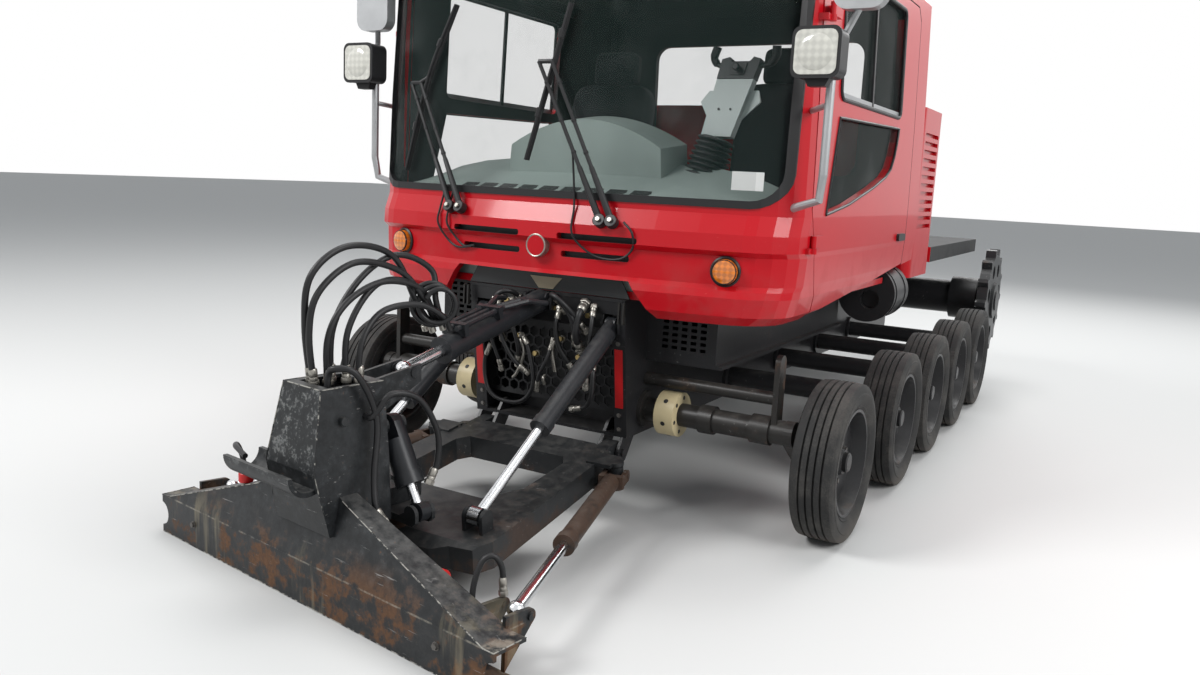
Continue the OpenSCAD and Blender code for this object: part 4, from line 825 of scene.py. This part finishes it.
parts = []
for s in (1, -1):
    for start, end, radius in side_edges:
        parts.append(bead([(s * x, ahead, z) for x, ahead, z in (start, end)], radius))
parts.append(bead([(-TOWER_HALF, REACH - 12, TOWER_TOP), tower_corner], 2.0))
parts.append(bead([(-BEAM_HALF, REACH, 1), (BEAM_HALF, REACH, 1)], 1.6))
joined("edge_chips_and_highlight", parts, "blade_carrier")
print("edges on the carrier", len(parts))

# %% [markdown]
# Two couplings with red dust caps lie behind the beam's left half. A third stands in the trough on the right,
# with a short hose to the tower. Another small hose bends over the end of the left swing cylinder, and the
# tilt cylinder's rod gets a bright skin.
# %% Couplings, caps and short hoses
parts = []
dust_cap = [(19, -18), (21, -16), (25, -16), (26, -12), (25, 26), (21, 32), (0.5, 33)]
for place, rising in ((on_carrier(435, 218, 163), 0.1), (on_carrier(505, 222, 110), 0.0)):
    w = Vector((1, -0.15, rising)).normalized()
    parts += can(place - w * 0.075, w, 15, 60, FITTING)
    parts.append(turned(dust_cap, place, w, 24, RED_PLASTIC))
    rear = place - w * 0.07
    parts += hose([rear, rear - w * 0.05 + Vector((0, -0.01, 0)), rear + Vector((-0.08, -0.07, -0.02)),
                   rear + Vector((-0.08, -0.15, -0.03))], 10, (True, False))
cap = on_carrier(-392, 352, 292)
parts += can(cap - Vector((0, 0, 0.070)), (0, 0, 1), 13, 76, FITTING)
parts.append(turned([(24, 0), (25, 3), (25, 30), (20, 36), (13, 37)], cap, (0, 0, 1), 24, RED_PLASTIC))
parts += hose([cap + Vector((0, 0, 0.03)), on_carrier(-398, 362, 385), on_carrier(-376, 392, 432),
               on_carrier(-320, 430, 446), on_carrier(-232, 450, 437)], 9, (False, False))
joined("couplings", parts, "blade_carrier")
route = [(602, -1600, 132), (596, -1590, 215), (608, -1568, 285), (632, -1546, 300), (650, -1530, 264),
         (654, -1526, 197)]
joined("swing_hose_left", hose(on_machine(route), 9), "blade_carrier")
TILT_ROD, SKIN = 17, 0.4
top, eye = on_carrier(58, 100, 540), on_carrier(208, 100, 278)
along = (eye - top).normalized()
rod = tube([top + along * 0.209, eye - along * 0.020], TILT_ROD + SKIN, 24, CHROME)
piece("tilt_rod", rod, "blade_carrier")
print("hoses on the carrier", len(bundle.data.polygons), "faces")

# %% [markdown]
# The hull's front is crowded: hoses loop down from the fittings under the cab, a wide one hangs in a ring
# before the mesh, brass and zinc unions shine between them, and red strips run down the cheeks. A dark band
# and a bare plate lie above them, under the nose.
# %% Hoses and fittings on the hull
routes = [
    ([(-78, -405, 704), (-55, -410, 682), (-30, -412, 611), (-15, -410, 532), (-38, -408, 466),
      (-96, -405, 425), (-188, -403, 423), (-245, -402, 451), (-272, -400, 512), (-276, -398, 588),
      (-258, -390, 640)], 9),
    ([(113, -392, 838), (140, -424, 846), (168, -428, 815), (179, -424, 762), (176, -400, 716)], 12),
    ([(206, -396, 872), (210, -440, 840), (206, -450, 800), (202, -446, 745), (198, -400, 690)], 14),
    ([(92, -400, 836), (96, -430, 770), (112, -425, 690), (150, -410, 630), (164, -392, 596)], 10.5),
    ([(-210, -392, 850), (-206, -425, 800), (-170, -430, 700), (-120, -415, 610), (-60, -396, 560)], 9),
    ([(-240, -392, 838), (-236, -420, 770), (-228, -422, 690), (-200, -405, 600), (-196, -390, 560)], 9),
    ([(250, -396, 860), (262, -430, 800), (256, -430, 700), (236, -410, 600), (226, -392, 540)], 9),
    ([(-150, -392, 846), (-140, -436, 812), (-102, -440, 740), (-92, -420, 660), (-110, -392, 590)], 9),
    ([(60, -392, 700), (56, -420, 640), (20, -424, 560), (-4, -400, 500)], 8),
    ([(84, -392, 868), (96, -470, 905), (140, -500, 900), (186, -470, 850), (214, -400, 770)], 10.5),
    ([(100, -392, 850), (118, -450, 880), (160, -470, 860), (196, -450, 800), (190, -396, 690)], 9),
    ([(-92, -392, 862), (-110, -470, 900), (-150, -500, 880), (-180, -470, 800), (-186, -400, 690)], 10.5),
    ([(262, -396, 640), (280, -430, 600), (276, -428, 520), (240, -408, 460), (180, -400, 440)], 9),
]
parts = []
for route, radius in routes:
    parts += hose(on_machine(route), radius, (True, True), 6)
pipes = [
    ([(-114, -385, 703), (-92, -396, 684), (-78, -398, 645), (-87, -396, 600), (-115, -390, 545),
      (-137, -385, 523)], 7),
    ([(101, -388, 715), (72, -398, 700), (64, -400, 670), (72, -398, 622), (75, -388, 579)], 8.5),
    ([(20, -380, 552), (20, -392, 540), (21, -380, 515)], 7)]
for route, radius in pipes:
    parts.append(tube(smooth_path(on_machine(route), 6), radius, 12, FITTING))
unions = [(-262, 800), (70, 842), (226, 826), (190, 652), (-110, 704), (101, 716), (-170, 846), (262, 720),
          (-20, 640)]
for x, z in unions:
    parts += can(at(x, -372, z), (0, -1, 0.1), 15, 16, FITTING, 6, 1)
    parts += can(at(x, -388, z + 1.6), (0, -1, 0.1), 11, 18, BRASS, 14, 1)
for x in (-226, -150, 120, 236):
    parts.append(slab(round_rect(34, 26, 5), 8, standing(x, -356, 862), BLACK_PLASTIC))
joined("hull_hoses", parts, "machine")

HULL_FRONT, HULL_FOOT, HULL_TOP, LEAN = -305, 330, 905, 75


def on_cheek(x, z, out=0):
    """A place on the leaning front edge of the hull's cheeks, and out millimetres off it."""
    return at(x, HULL_FRONT - LEAN * (z - HULL_FOOT) / (HULL_TOP - HULL_FOOT) - out, z)


parts = []
for sign in (1, -1):
    strip = [(sign * 330, 455), (sign * 366, 455), (sign * 366, 700), (sign * 330, 700)]
    parts.append(slab(strip, 3, lambda a, b, c: on_cheek(a, b, c - 1), STRIP))
    for x in (366, 386):
        ear = [(-8.4, 812), (-6, 896), (6, 896), (8.4, 812)]
        parts.append(slab(ear, 7, lambda a, b, c: at(sign * (x + c), -404 + a, b), AXLE))
joined("hull_trim", parts, "machine")
band = [(-392, 908), (392, 908), (350, 984), (-350, 984)]
piece("nose_band", slab(band, 6, standing(0, -366, 0), DARK_PANEL), "machine")
plate = [(-34, 914), (34, 914), (78, 962), (-78, 962)]
piece("bare_plate", slab(plate, 3, standing(0, -369.5, 0), BEIGE), "machine")
print("hull front dressed")

# %% [markdown]
# Lamps: a square headlamp with a clear ribbed lens on each rail, a round amber lamp low on each side of the
# nose, and a beacon and two work lamps on the roof.
# %% Lamps and lenses
NOSE, BOW, SIDE, SILL = -450, 4000, 1015, 1262
ROWS = [(848, 52, 80), (884, 14, 34), (955, 0, 12), (982, 8, 10), (1000, 24, 8), (1108, 26, 2), (1128, 0, 0),
        (1190, 4, 0), (SILL, 34, 0), (1700, 44, 8), (2340, 72, 30), (2440, 104, 62)]
heights, front_insets, side_insets = zip(*ROWS)


def nose_y(x, z):
    """The front leans by rows of (height, inset in front, inset of the sides) and bows round to its sides."""
    return NOSE + float(np.interp(z, heights, front_insets)) + BOW - math.sqrt(BOW ** 2 - x * x)


def nose_point(x, z, out=0.0):
    """A place on the nose, and out millimetres off it."""
    return at(x, nose_y(x, z) - out, z)


def nose_way(x):
    return Vector((x / BOW, -math.sqrt(1 - (x / BOW) ** 2), 0))


def on_side(sign, y, z, out=0.0):
    """A place on the cab's flat side, and out millimetres off it."""
    return at(sign * (SIDE - float(np.interp(z, heights, side_insets)) + out), y, z)


LAMP_Z, LAMP_FACE = 1826, -409
parts = []
for x in (1072, -1020):
    parts.append(slab(round_rect(86, 86, 30), 12, standing(x, LAMP_FACE + 3, LAMP_Z), BLACK_PLASTIC))
    parts.append(slab(round_rect(74, 74, 26), 4, standing(x, LAMP_FACE, LAMP_Z), CLEAR))
    dome = [(62, 0), (58, 3), (44, 6), (22, 8), (0.5, 8.5)]
    parts.append(turned(dome, at(x, LAMP_FACE, LAMP_Z), (0, -1, 0), 40, CLEAR))
    bracket = [(-30, 1716), (30, 1716), (44, 1742), (-44, 1742)]
    parts.append(slab(bracket, 40, standing(x, -372, 0), BLACK_PLASTIC))
    blinker_x = math.copysign(779, x)
    place, way = nose_point(blinker_x, 1052), nose_way(blinker_x)
    parts.append(turned([(58, 0), (58, 5), (52, 9), (48, 6)], place, way, 40, SEAL))
    parts.append(turned([(47.2, 4), (47.2, 22), (42, 32), (26, 38), (0.5, 39)], place, way, 40, AMBER))
beacon = [(71, 32), (71, 130), (60, 158), (34, 171), (0.5, 172.5)]
parts.append(turned(beacon, at(0, 900, 2560), (0, 0, 1), 40, AMBER))
for x in (430, -430):
    parts.append(slab(round_rect(80, 38, 18), 3, standing(x, 127, 2628.5), CLEAR))
joined("lenses", parts, "machine")

# %% [markdown]
# The nose carries a bare round badge between its slots and black nets behind them. A blank white sticker sits
# inside the windshield. Each door gets rubber edges round its panes, a bar between them, a ledge and a grip.
# %% Trim of the cab
place = at(0, -452, 1094)
badge = [turned([(47, -40), (47, 3), (44, 5), (41, 3)], place, (0, -1, 0), 48, FITTING),
         turned([(40, 0), (40, 3.4), (0.5, 3.6)], place, (0, -1, 0), 48, RED)]
joined("badge", badge, "machine")
parts = []
for sign in (1, -1):
    for z, x0, x1 in ((1140, 86, 446), (1068, 94, 406)):
        along = [x0 + (x1 - x0) * k / 8 for k in range(9)]
        outline = [(sign * x, z - 15) for x in along] + [(sign * x, z + 15) for x in reversed(along)]
        parts.append(slab(outline, 5, lambda a, b, c: at(a, nose_y(a, b) + 34 + c, b), BLACK_PLASTIC))
joined("slot_nets", parts, "machine")
sticker = [(765, 1352), (881, 1352), (881, 1420), (765, 1420)]
piece("blank_sticker", slab(sticker, 1, lambda a, b, c: at(a, nose_y(a, b) + 22 + c, b), WHITE), "machine")


def edge(outline, sign, radius):
    """A rubber cord round a pane's edge on the flat side of the cab. outline: (along, up) pairs."""
    pts = []
    n = len(outline)
    for i in range(n):
        (y0, z0), (y1, z1) = outline[i], outline[(i + 1) % n]
        steps = max(1, int(math.dist((y0, z0), (y1, z1)) / 60))
        for k in range(steps):
            y, z = y0 + (y1 - y0) * k / steps, z0 + (z1 - z0) * k / steps
            pts.append(on_side(sign, y, z, 1))
    pts.append(pts[0])
    return tube(pts, radius, 8, SEAL)


pane_edge = [(650 + a, 1975 + b) for a, b in round_rect(500, 250, 40)]
low_edge = [(56, 1272), (361, 1312), (742, 1388), (950, 1440), (1040, 1482), (1092, 1542), (1126, 1610),
            (1144, 1676), (158, 1652)]
bar = [(640, 1735), (662, 1735), (662, 2215), (640, 2215)]
ledge = [(160, 1728), (1140, 1728), (1140, 1752), (160, 1752)]
grip = [(1350 + a, 1150 + b) for a, b in round_rect(70, 18, 12)]
for side, sign in (("left", 1), ("right", -1)):
    parts = [edge(pane_edge, sign, 9), edge(low_edge, sign, 6)]
    parts.append(slab(bar, 10, lambda a, b, c: on_side(sign, a, b, c - 12), BLACK_PLASTIC))
    parts.append(slab(ledge, 6, lambda a, b, c: on_side(sign, a, b, c - 10), TUBE))
    parts.append(slab(grip, 14, lambda a, b, c: on_side(sign, a, b, c), BLACK_PLASTIC))
    joined(f"door_trim_{side}", parts, f"door_{side}")
print("cab trimmed")

# %% [markdown]
# The wipers have twin arms with stout lower ends, round caps on their pivots, and washer hoses that hang in
# a loop below. A rubber blade lies on the glass.
# %% Wiper details
parts = []
for pivots, z0, tops, z1 in (((-460, -400), 1214, (-750, -690), 1742), ((290, 340), 1200, (-40, 20), 1812)):
    for x, top in zip(pivots, tops):
        low = at(x, nose_y(x, z0) - 18.5, z0 + 7.7)
        high = nose_point(top, z1, 18)
        way = (high - low).normalized()
        out = (nose_way(x) + Vector((0, 0, 0.42))).normalized()
        parts += can(low - out * 0.014, out, 25, 34, BLACK_PLASTIC, 24)
        parts += can(low + out * 0.018, out, 10, 12, FITTING, 6, 1)
        parts.append(tube([low, low + way * 0.10, low + way * 0.23], [14, 13, 10], 10, BLACK_PLASTIC))
        for f in (0.3, 0.42, 0.62, 0.86):
            parts += can(low + (high - low) * f, way, 10.5, 9, BLACK_PLASTIC, 12, 1)
blades = [((-500, 2056), (-648, 1770), (-780, 1367)), ((85, 2030), (26, 1816), (-85, 1430))]
for blade in blades:
    path = smooth_path([nose_point(x, z, 13) for x, z in blade], 8)
    parts.append(tube(path, 7, 8, SEAL))
    for f in (4, 12):
        parts += can(path[f], path[f + 1] - path[f], 13, 36, BLACK_PLASTIC, 8, 2)
washer_hoses = [
    [(-514, 1306), (-527, 1215), (-528, 1152), (-490, 1084), (-426, 1054), (-345, 1062)],
    [(-466, 1295), (-475, 1225), (-474, 1155), (-445, 1098), (-391, 1062), (-330, 1068)],
    [(134, 1475), (147, 1361), (157, 1254), (165, 1168), (190, 1116), (266, 1070), (364, 1066), (417, 1108),
     (425, 1170), (384, 1210)]]
for route in washer_hoses:
    path = smooth_path([nose_point(x, z, 12) for x, z in route], 6)
    parts.append(tube(path, 4.6, 8, HOSE))
joined("wiper_details", parts, "machine")

# %% [markdown]
# Inside the cab a sloping shelf with a row of dark vents lies behind the windshield, a low hood rises over
# the instruments, and a control column with ribbed bellows, pale cover and two grips stands before the
# driver.
# %% Dashboard and control column
CAB_FLOOR = 935
parts = []
xs = [-900 + 150 * k for k in range(13)]
rows = [0, 0.08, 0.3, 0.55, 0.8, 0.95, 1.0]


def shelf_front(x):
    return nose_y(x, SILL) + 66


def shelf_point(x, t, drop=0.0):
    """A place on the shelf, from its front at t = 0 to its rear edge at t = 1."""
    y = shelf_front(x)
    return at(x, y + (10 - y) * t, 1300 + 150 * t ** 1.15 * max(0.0, 1 - (abs(x) / 980) ** 4) - drop)


points = []
for t in rows:
    points += [shelf_point(x, t, 8 if t == 0 else 0) for x in xs]
count = len(xs)
rear = (len(rows) - 1) * count
base = len(points)
points += [at(x, shelf_front(x), CAB_FLOOR) for x in xs] + [at(x, 30, CAB_FLOOR) for x in xs]
faces = []
strips = [(r * count, (r + 1) * count) for r in range(len(rows) - 1)] + [(rear, base + count)]
for near, far in strips:
    faces += [(near + i, near + i + 1, far + i + 1, far + i) for i in range(count - 1)]
faces += [(i, base + i, base + i + 1, i + 1) for i in range(count - 1)]
parts.append((points, faces, DASH_PLASTIC))
for k in range(9):
    x = -478 + 106 * k
    corners = [(x - 42, 0.10), (x + 34, 0.10), (x + 42, 0.17), (x + 34, 0.24), (x - 42, 0.24)]
    parts.append(slab(corners, 7.2, lambda a, t, c: shelf_point(a, t, c - 1.2), BLACK_PLASTIC))
hood = [(-420, 1290)]
for k in range(17):
    t = k / 16
    hood.append((-400 + 800 * t, 1425 + 215 * math.sin(math.pi * (0.12 + 0.76 * t)) ** 0.75))
hood.append((420, 1290))


def on_hood(a, b, c):
    """The hood's front rim is narrower, lower and further ahead than its rear one."""
    front = c < 1
    return at(a * (1 - 0.08 * front), -95 + c - 30 * front, b - 26 * front)


parts.append(slab(hood, 150, on_hood, DASH_PLASTIC))
instruments = [(a * 0.93, 1300 + (b - 1300) * 0.93) for a, b in hood]
parts.append(slab(instruments, 4, standing(0, 55, 0), BLACK_PLASTIC))
dash = joined("dashboard", parts, "machine", 40)
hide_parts("cab_interior")


def on_column(x, y, z):
    """On the column's tilted cover: across, towards the driver, along it."""
    t = math.radians(10)
    return at(528 + x + 0.22 * z, 70 + y * math.cos(t) + z * math.sin(t),
              1560 + z * math.cos(t) - y * math.sin(t))


parts = []
cover = [(-66, 0), (66, 0), (80, 236), (-80, 236)]
parts.append(slab(cover, 44, lambda a, b, c: on_column(a, c - 22, b), COLUMN_PLASTIC))
top = [(-80, 238), (80, 238), (84, 318), (52, 326), (40, 308), (-40, 308), (-52, 326), (-84, 318)]
parts.append(slab(top, 50, lambda a, b, c: on_column(a, c - 25, b), DARK_PANEL))
parts.append(slab(round_rect(34, 26, 10), 6, lambda a, b, c: on_column(a, -30 + c, 278 + b), BLACK_PLASTIC))
out_of_cover = on_column(0, 0, 0) - on_column(0, 1, 0)
parts += can(on_column(0, -44, 278), out_of_cover, 15, 16, BLACK_PLASTIC, 20, 4)
for sign in (1, -1):
    wing = [(sign * 60, 60), (sign * 132, 150), (sign * 108, 196), (sign * 74, 196)]
    parts.append(slab(wing, 8, lambda a, b, c: on_column(a, c + 6, b), COLUMN_PLASTIC))
    route = [(70, 6, 296), (112, 10, 306), (134, 0, 332), (128, -12, 372)]
    grip = smooth_path([on_column(sign * x, y, z) for x, y, z in route], 6)
    parts.append(tube(grip, [11] * 7 + [16] * 6 + [18] * 6, 12, BLACK_PLASTIC))
for sign in (1, -1):
    parts += can(on_column(sign * 26, -23, 112), out_of_cover, 5, 3, BLACK_PLASTIC, 12, 1)
bellows = []
for k in range(8):
    z = -6 - k * 22
    grow = 1 + 0.03 * k
    bellows += [(62 * grow, z), (78 * grow, z - 8), (78 * grow, z - 12), (62 * grow, z - 20)]
foot_of_cover = on_column(0, 0, 0)
down = (on_column(0, 0, -180) - foot_of_cover).normalized()
parts.append(turned([(r, -z) for r, z in bellows], foot_of_cover, down, 24, BLACK_PLASTIC))
foot_outline = [(-78, 0), (78, 0), (92, 120), (70, 170), (-70, 170), (-92, 120)]
parts.append(slab(foot_outline, 110, standing(478, -20, 1225), COLUMN_PLASTIC))
stem = [(-52, 0), (52, 0), (60, 300), (-60, 300)]
parts.append(slab(stem, 80, standing(478, 0, CAB_FLOOR), BLACK_PLASTIC))
column = joined("control_column", parts, "machine")
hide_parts("cab_interior")

# %% [markdown]
# The two seats are black cloth over foam. Each cushion is a swollen box whose corners are rounded by a power
# curve.
# %% Seats
def bent(value):
    """Pulls a sine or cosine towards 1 or -1, which squares a ball."""
    return math.copysign(abs(value) ** 0.32, value)


def cushion(name, middle, half, lean=0.0, rings=18, sides=36):
    points = []
    for i in range(rings + 1):
        v = math.pi * (i / rings - 0.5)
        for k in range(sides):
            u = 2 * math.pi * k / sides
            x = half[0] * bent(math.cos(v)) * bent(math.cos(u))
            y = half[1] * bent(math.cos(v)) * bent(math.sin(u))
            z = half[2] * bent(math.sin(v))
            y, z = y * math.cos(lean) - z * math.sin(lean), y * math.sin(lean) + z * math.cos(lean)
            points.append(at(middle[0] + x, middle[1] + y, middle[2] + z))
    made = piece(name, (points, ring_faces(rings + 1, sides), CLOTH), "machine", 60)
    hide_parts("cab_interior")


for label, x in (("driver", 440), ("passenger", -560)):
    cushion(f"seat_cushion_{label}", (x, 800, CAB_FLOOR + 330), (252, 244, 72))
    cushion(f"seat_back_{label}", (x, 1075, CAB_FLOOR + 650), (244, 62, 300), -0.14)
    cushion(f"seat_head_{label}", (x, 1135, CAB_FLOOR + 1035), (130, 48, 92), -0.1)
    box = [(-150, 620), (150, 620), (150, 940), (-150, 940)]
    stand = [slab(box, 240, lambda a, b, c: at(x + a, b, CAB_FLOOR + c), BLACK_PLASTIC)]
    for s in (-1, 1):
        post = [at(x + s * 50, 1120, CAB_FLOOR + 900), at(x + s * 50, 1134, CAB_FLOOR + 980)]
        stand.append(tube(post, 8, 10, FITTING))
    made = joined(f"seat_stand_{label}", stand, "machine")
    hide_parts("cab_interior")
print("cab furnished")

# %% [markdown]
# Bolts and pin ends finish the push frame, the tower, the beam and the cheeks. Thin black discs on the guide
# rollers' faces and treads are painted shade that stands for their slots.
# %% Bolts and pins
parts = []
for s in (1, -1):
    place = on_carrier(s * 112, 330, 600)
    way = on_carrier(s * 113, 330, 600) - place
    parts += can(place - way.normalized() * 0.01, way, 14, 26, FRAME, 20)
joined("tower_boss", parts, "blade_carrier")
plate = [(at(s * 345, y, z), (0, -0.12, 1)) for s in (1, -1) for y, z in ((-440, 293), (-480, 288))]
bolts("frame_bolts", plate, 9, 9, BOLT, "push_frame")
cheek = [(on_cheek(s * 346, z), (0, -1, 0.1)) for s in (1, -1) for z in (365, 425, 725)]
bolts("cheek_bolts", cheek, 8, 7, BOLT, "machine")
beam = [(on_carrier(s * 640, REACH + 1, 84), on_carrier(0, 1, 0) - on_carrier(0, 0, 0)) for s in (1, -1)]
bolts("beam_bolts", beam, 10, 8, BOLT, "blade_carrier")
parts = []
roller_low, roller_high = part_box("guide_rollers")
for sign in (1, -1):
    centre = middle_of("guide_rollers")
    centre.x = roller_high.x if sign > 0 else roller_low.x
    for k in range(6):
        a = 2 * math.pi * k / 6 + 0.3
        # Black discs, not recesses: painted shade for the slots.
        place = centre + Vector((-sign * 0.0005, math.cos(a) * 0.070, math.sin(a) * 0.070))
        parts += can(place, (sign, 0, 0), 8.5, 1.6, BLACK_PLASTIC, 16, 0.4)
        tread = centre + Vector((-sign * 0.042, math.cos(a) * 0.0915, math.sin(a) * 0.0915))
        parts += can(tread, (0, math.cos(a), math.sin(a)), 10, 1.4, BLACK_PLASTIC, 14, 0.4)
joined("roller_slot_shade", parts, "machine")
print("bolts and pins done")

# %% [markdown]
# The floor is plain and pale. Soft panels light the machine from above left, the right and behind, as on an
# overcast day, and the world is white only to the camera, to mirrors and through glass.
# %% Floor, light and world
floor_mesh = bpy.data.meshes.new("studio_floor")
floor_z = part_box("tyre_left_1")[0][2] - 0.001
corners = [(-60, -60, floor_z), (60, -60, floor_z), (60, 60, floor_z), (-60, 60, floor_z)]
floor_mesh.from_pydata(corners, [], [(0, 1, 2, 3)])
floor_mesh.materials.append(Finish("pale floor").set(Base_Color=(0.62, 0.62, 0.61), Roughness=0.75))
new_object("studio_floor", floor_mesh)


def panel(name, where, target, size, power):
    data = bpy.data.lights.new(name, "AREA")
    data.shape = "RECTANGLE"
    data.size, data.size_y = size
    data.energy = power
    obj = new_object(name, data)
    obj.location = where
    obj.rotation_euler = (Vector(target) - Vector(where)).to_track_quat("-Z", "Y").to_euler()


panel("sky_front_left", (-5.0, -7.5, 7.5), (0, 0, 1.0), (4, 3), 760)
panel("sky_right", (7.5, -3.0, 5.0), (0, 0, 1.0), (4, 3), 380)
panel("sky_back", (1.5, 8.0, 6.5), (0, 0, 1.2), (6, 5), 380)
panel("sky_top", (0.0, 0.5, 9.0), (0, 0, 0), (6, 6), 420)

world = bpy.data.worlds.new("studio")
bpy.context.scene.world = world
world.use_nodes = True
nodes, links = world.node_tree.nodes, world.node_tree.links
nodes.clear()
out = nodes.new("ShaderNodeOutputWorld")
lit, white = nodes.new("ShaderNodeBackground"), nodes.new("ShaderNodeBackground")
blend = nodes.new("ShaderNodeMixShader")
lit.inputs["Color"].default_value = (0.80, 0.86, 0.92, 1)
lit.inputs["Strength"].default_value = 0.38
white.inputs["Color"].default_value = (1, 1, 1, 1)
white.inputs["Strength"].default_value = 1.0
rays = nodes.new("ShaderNodeLightPath")
first, second = nodes.new("ShaderNodeMath"), nodes.new("ShaderNodeMath")
for node in (first, second):
    node.operation = "MAXIMUM"
links.new(rays.outputs["Is Camera Ray"], first.inputs[0])
links.new(rays.outputs["Is Glossy Ray"], first.inputs[1])
links.new(first.outputs[0], second.inputs[0])
links.new(rays.outputs["Is Transmission Ray"], second.inputs[1])
links.new(second.outputs[0], blend.inputs[0])
links.new(lit.outputs[0], blend.inputs[1])
links.new(white.outputs[0], blend.inputs[2])
links.new(blend.outputs[0], out.inputs["Surface"])
bpy.context.scene.view_settings.view_transform = "Standard"
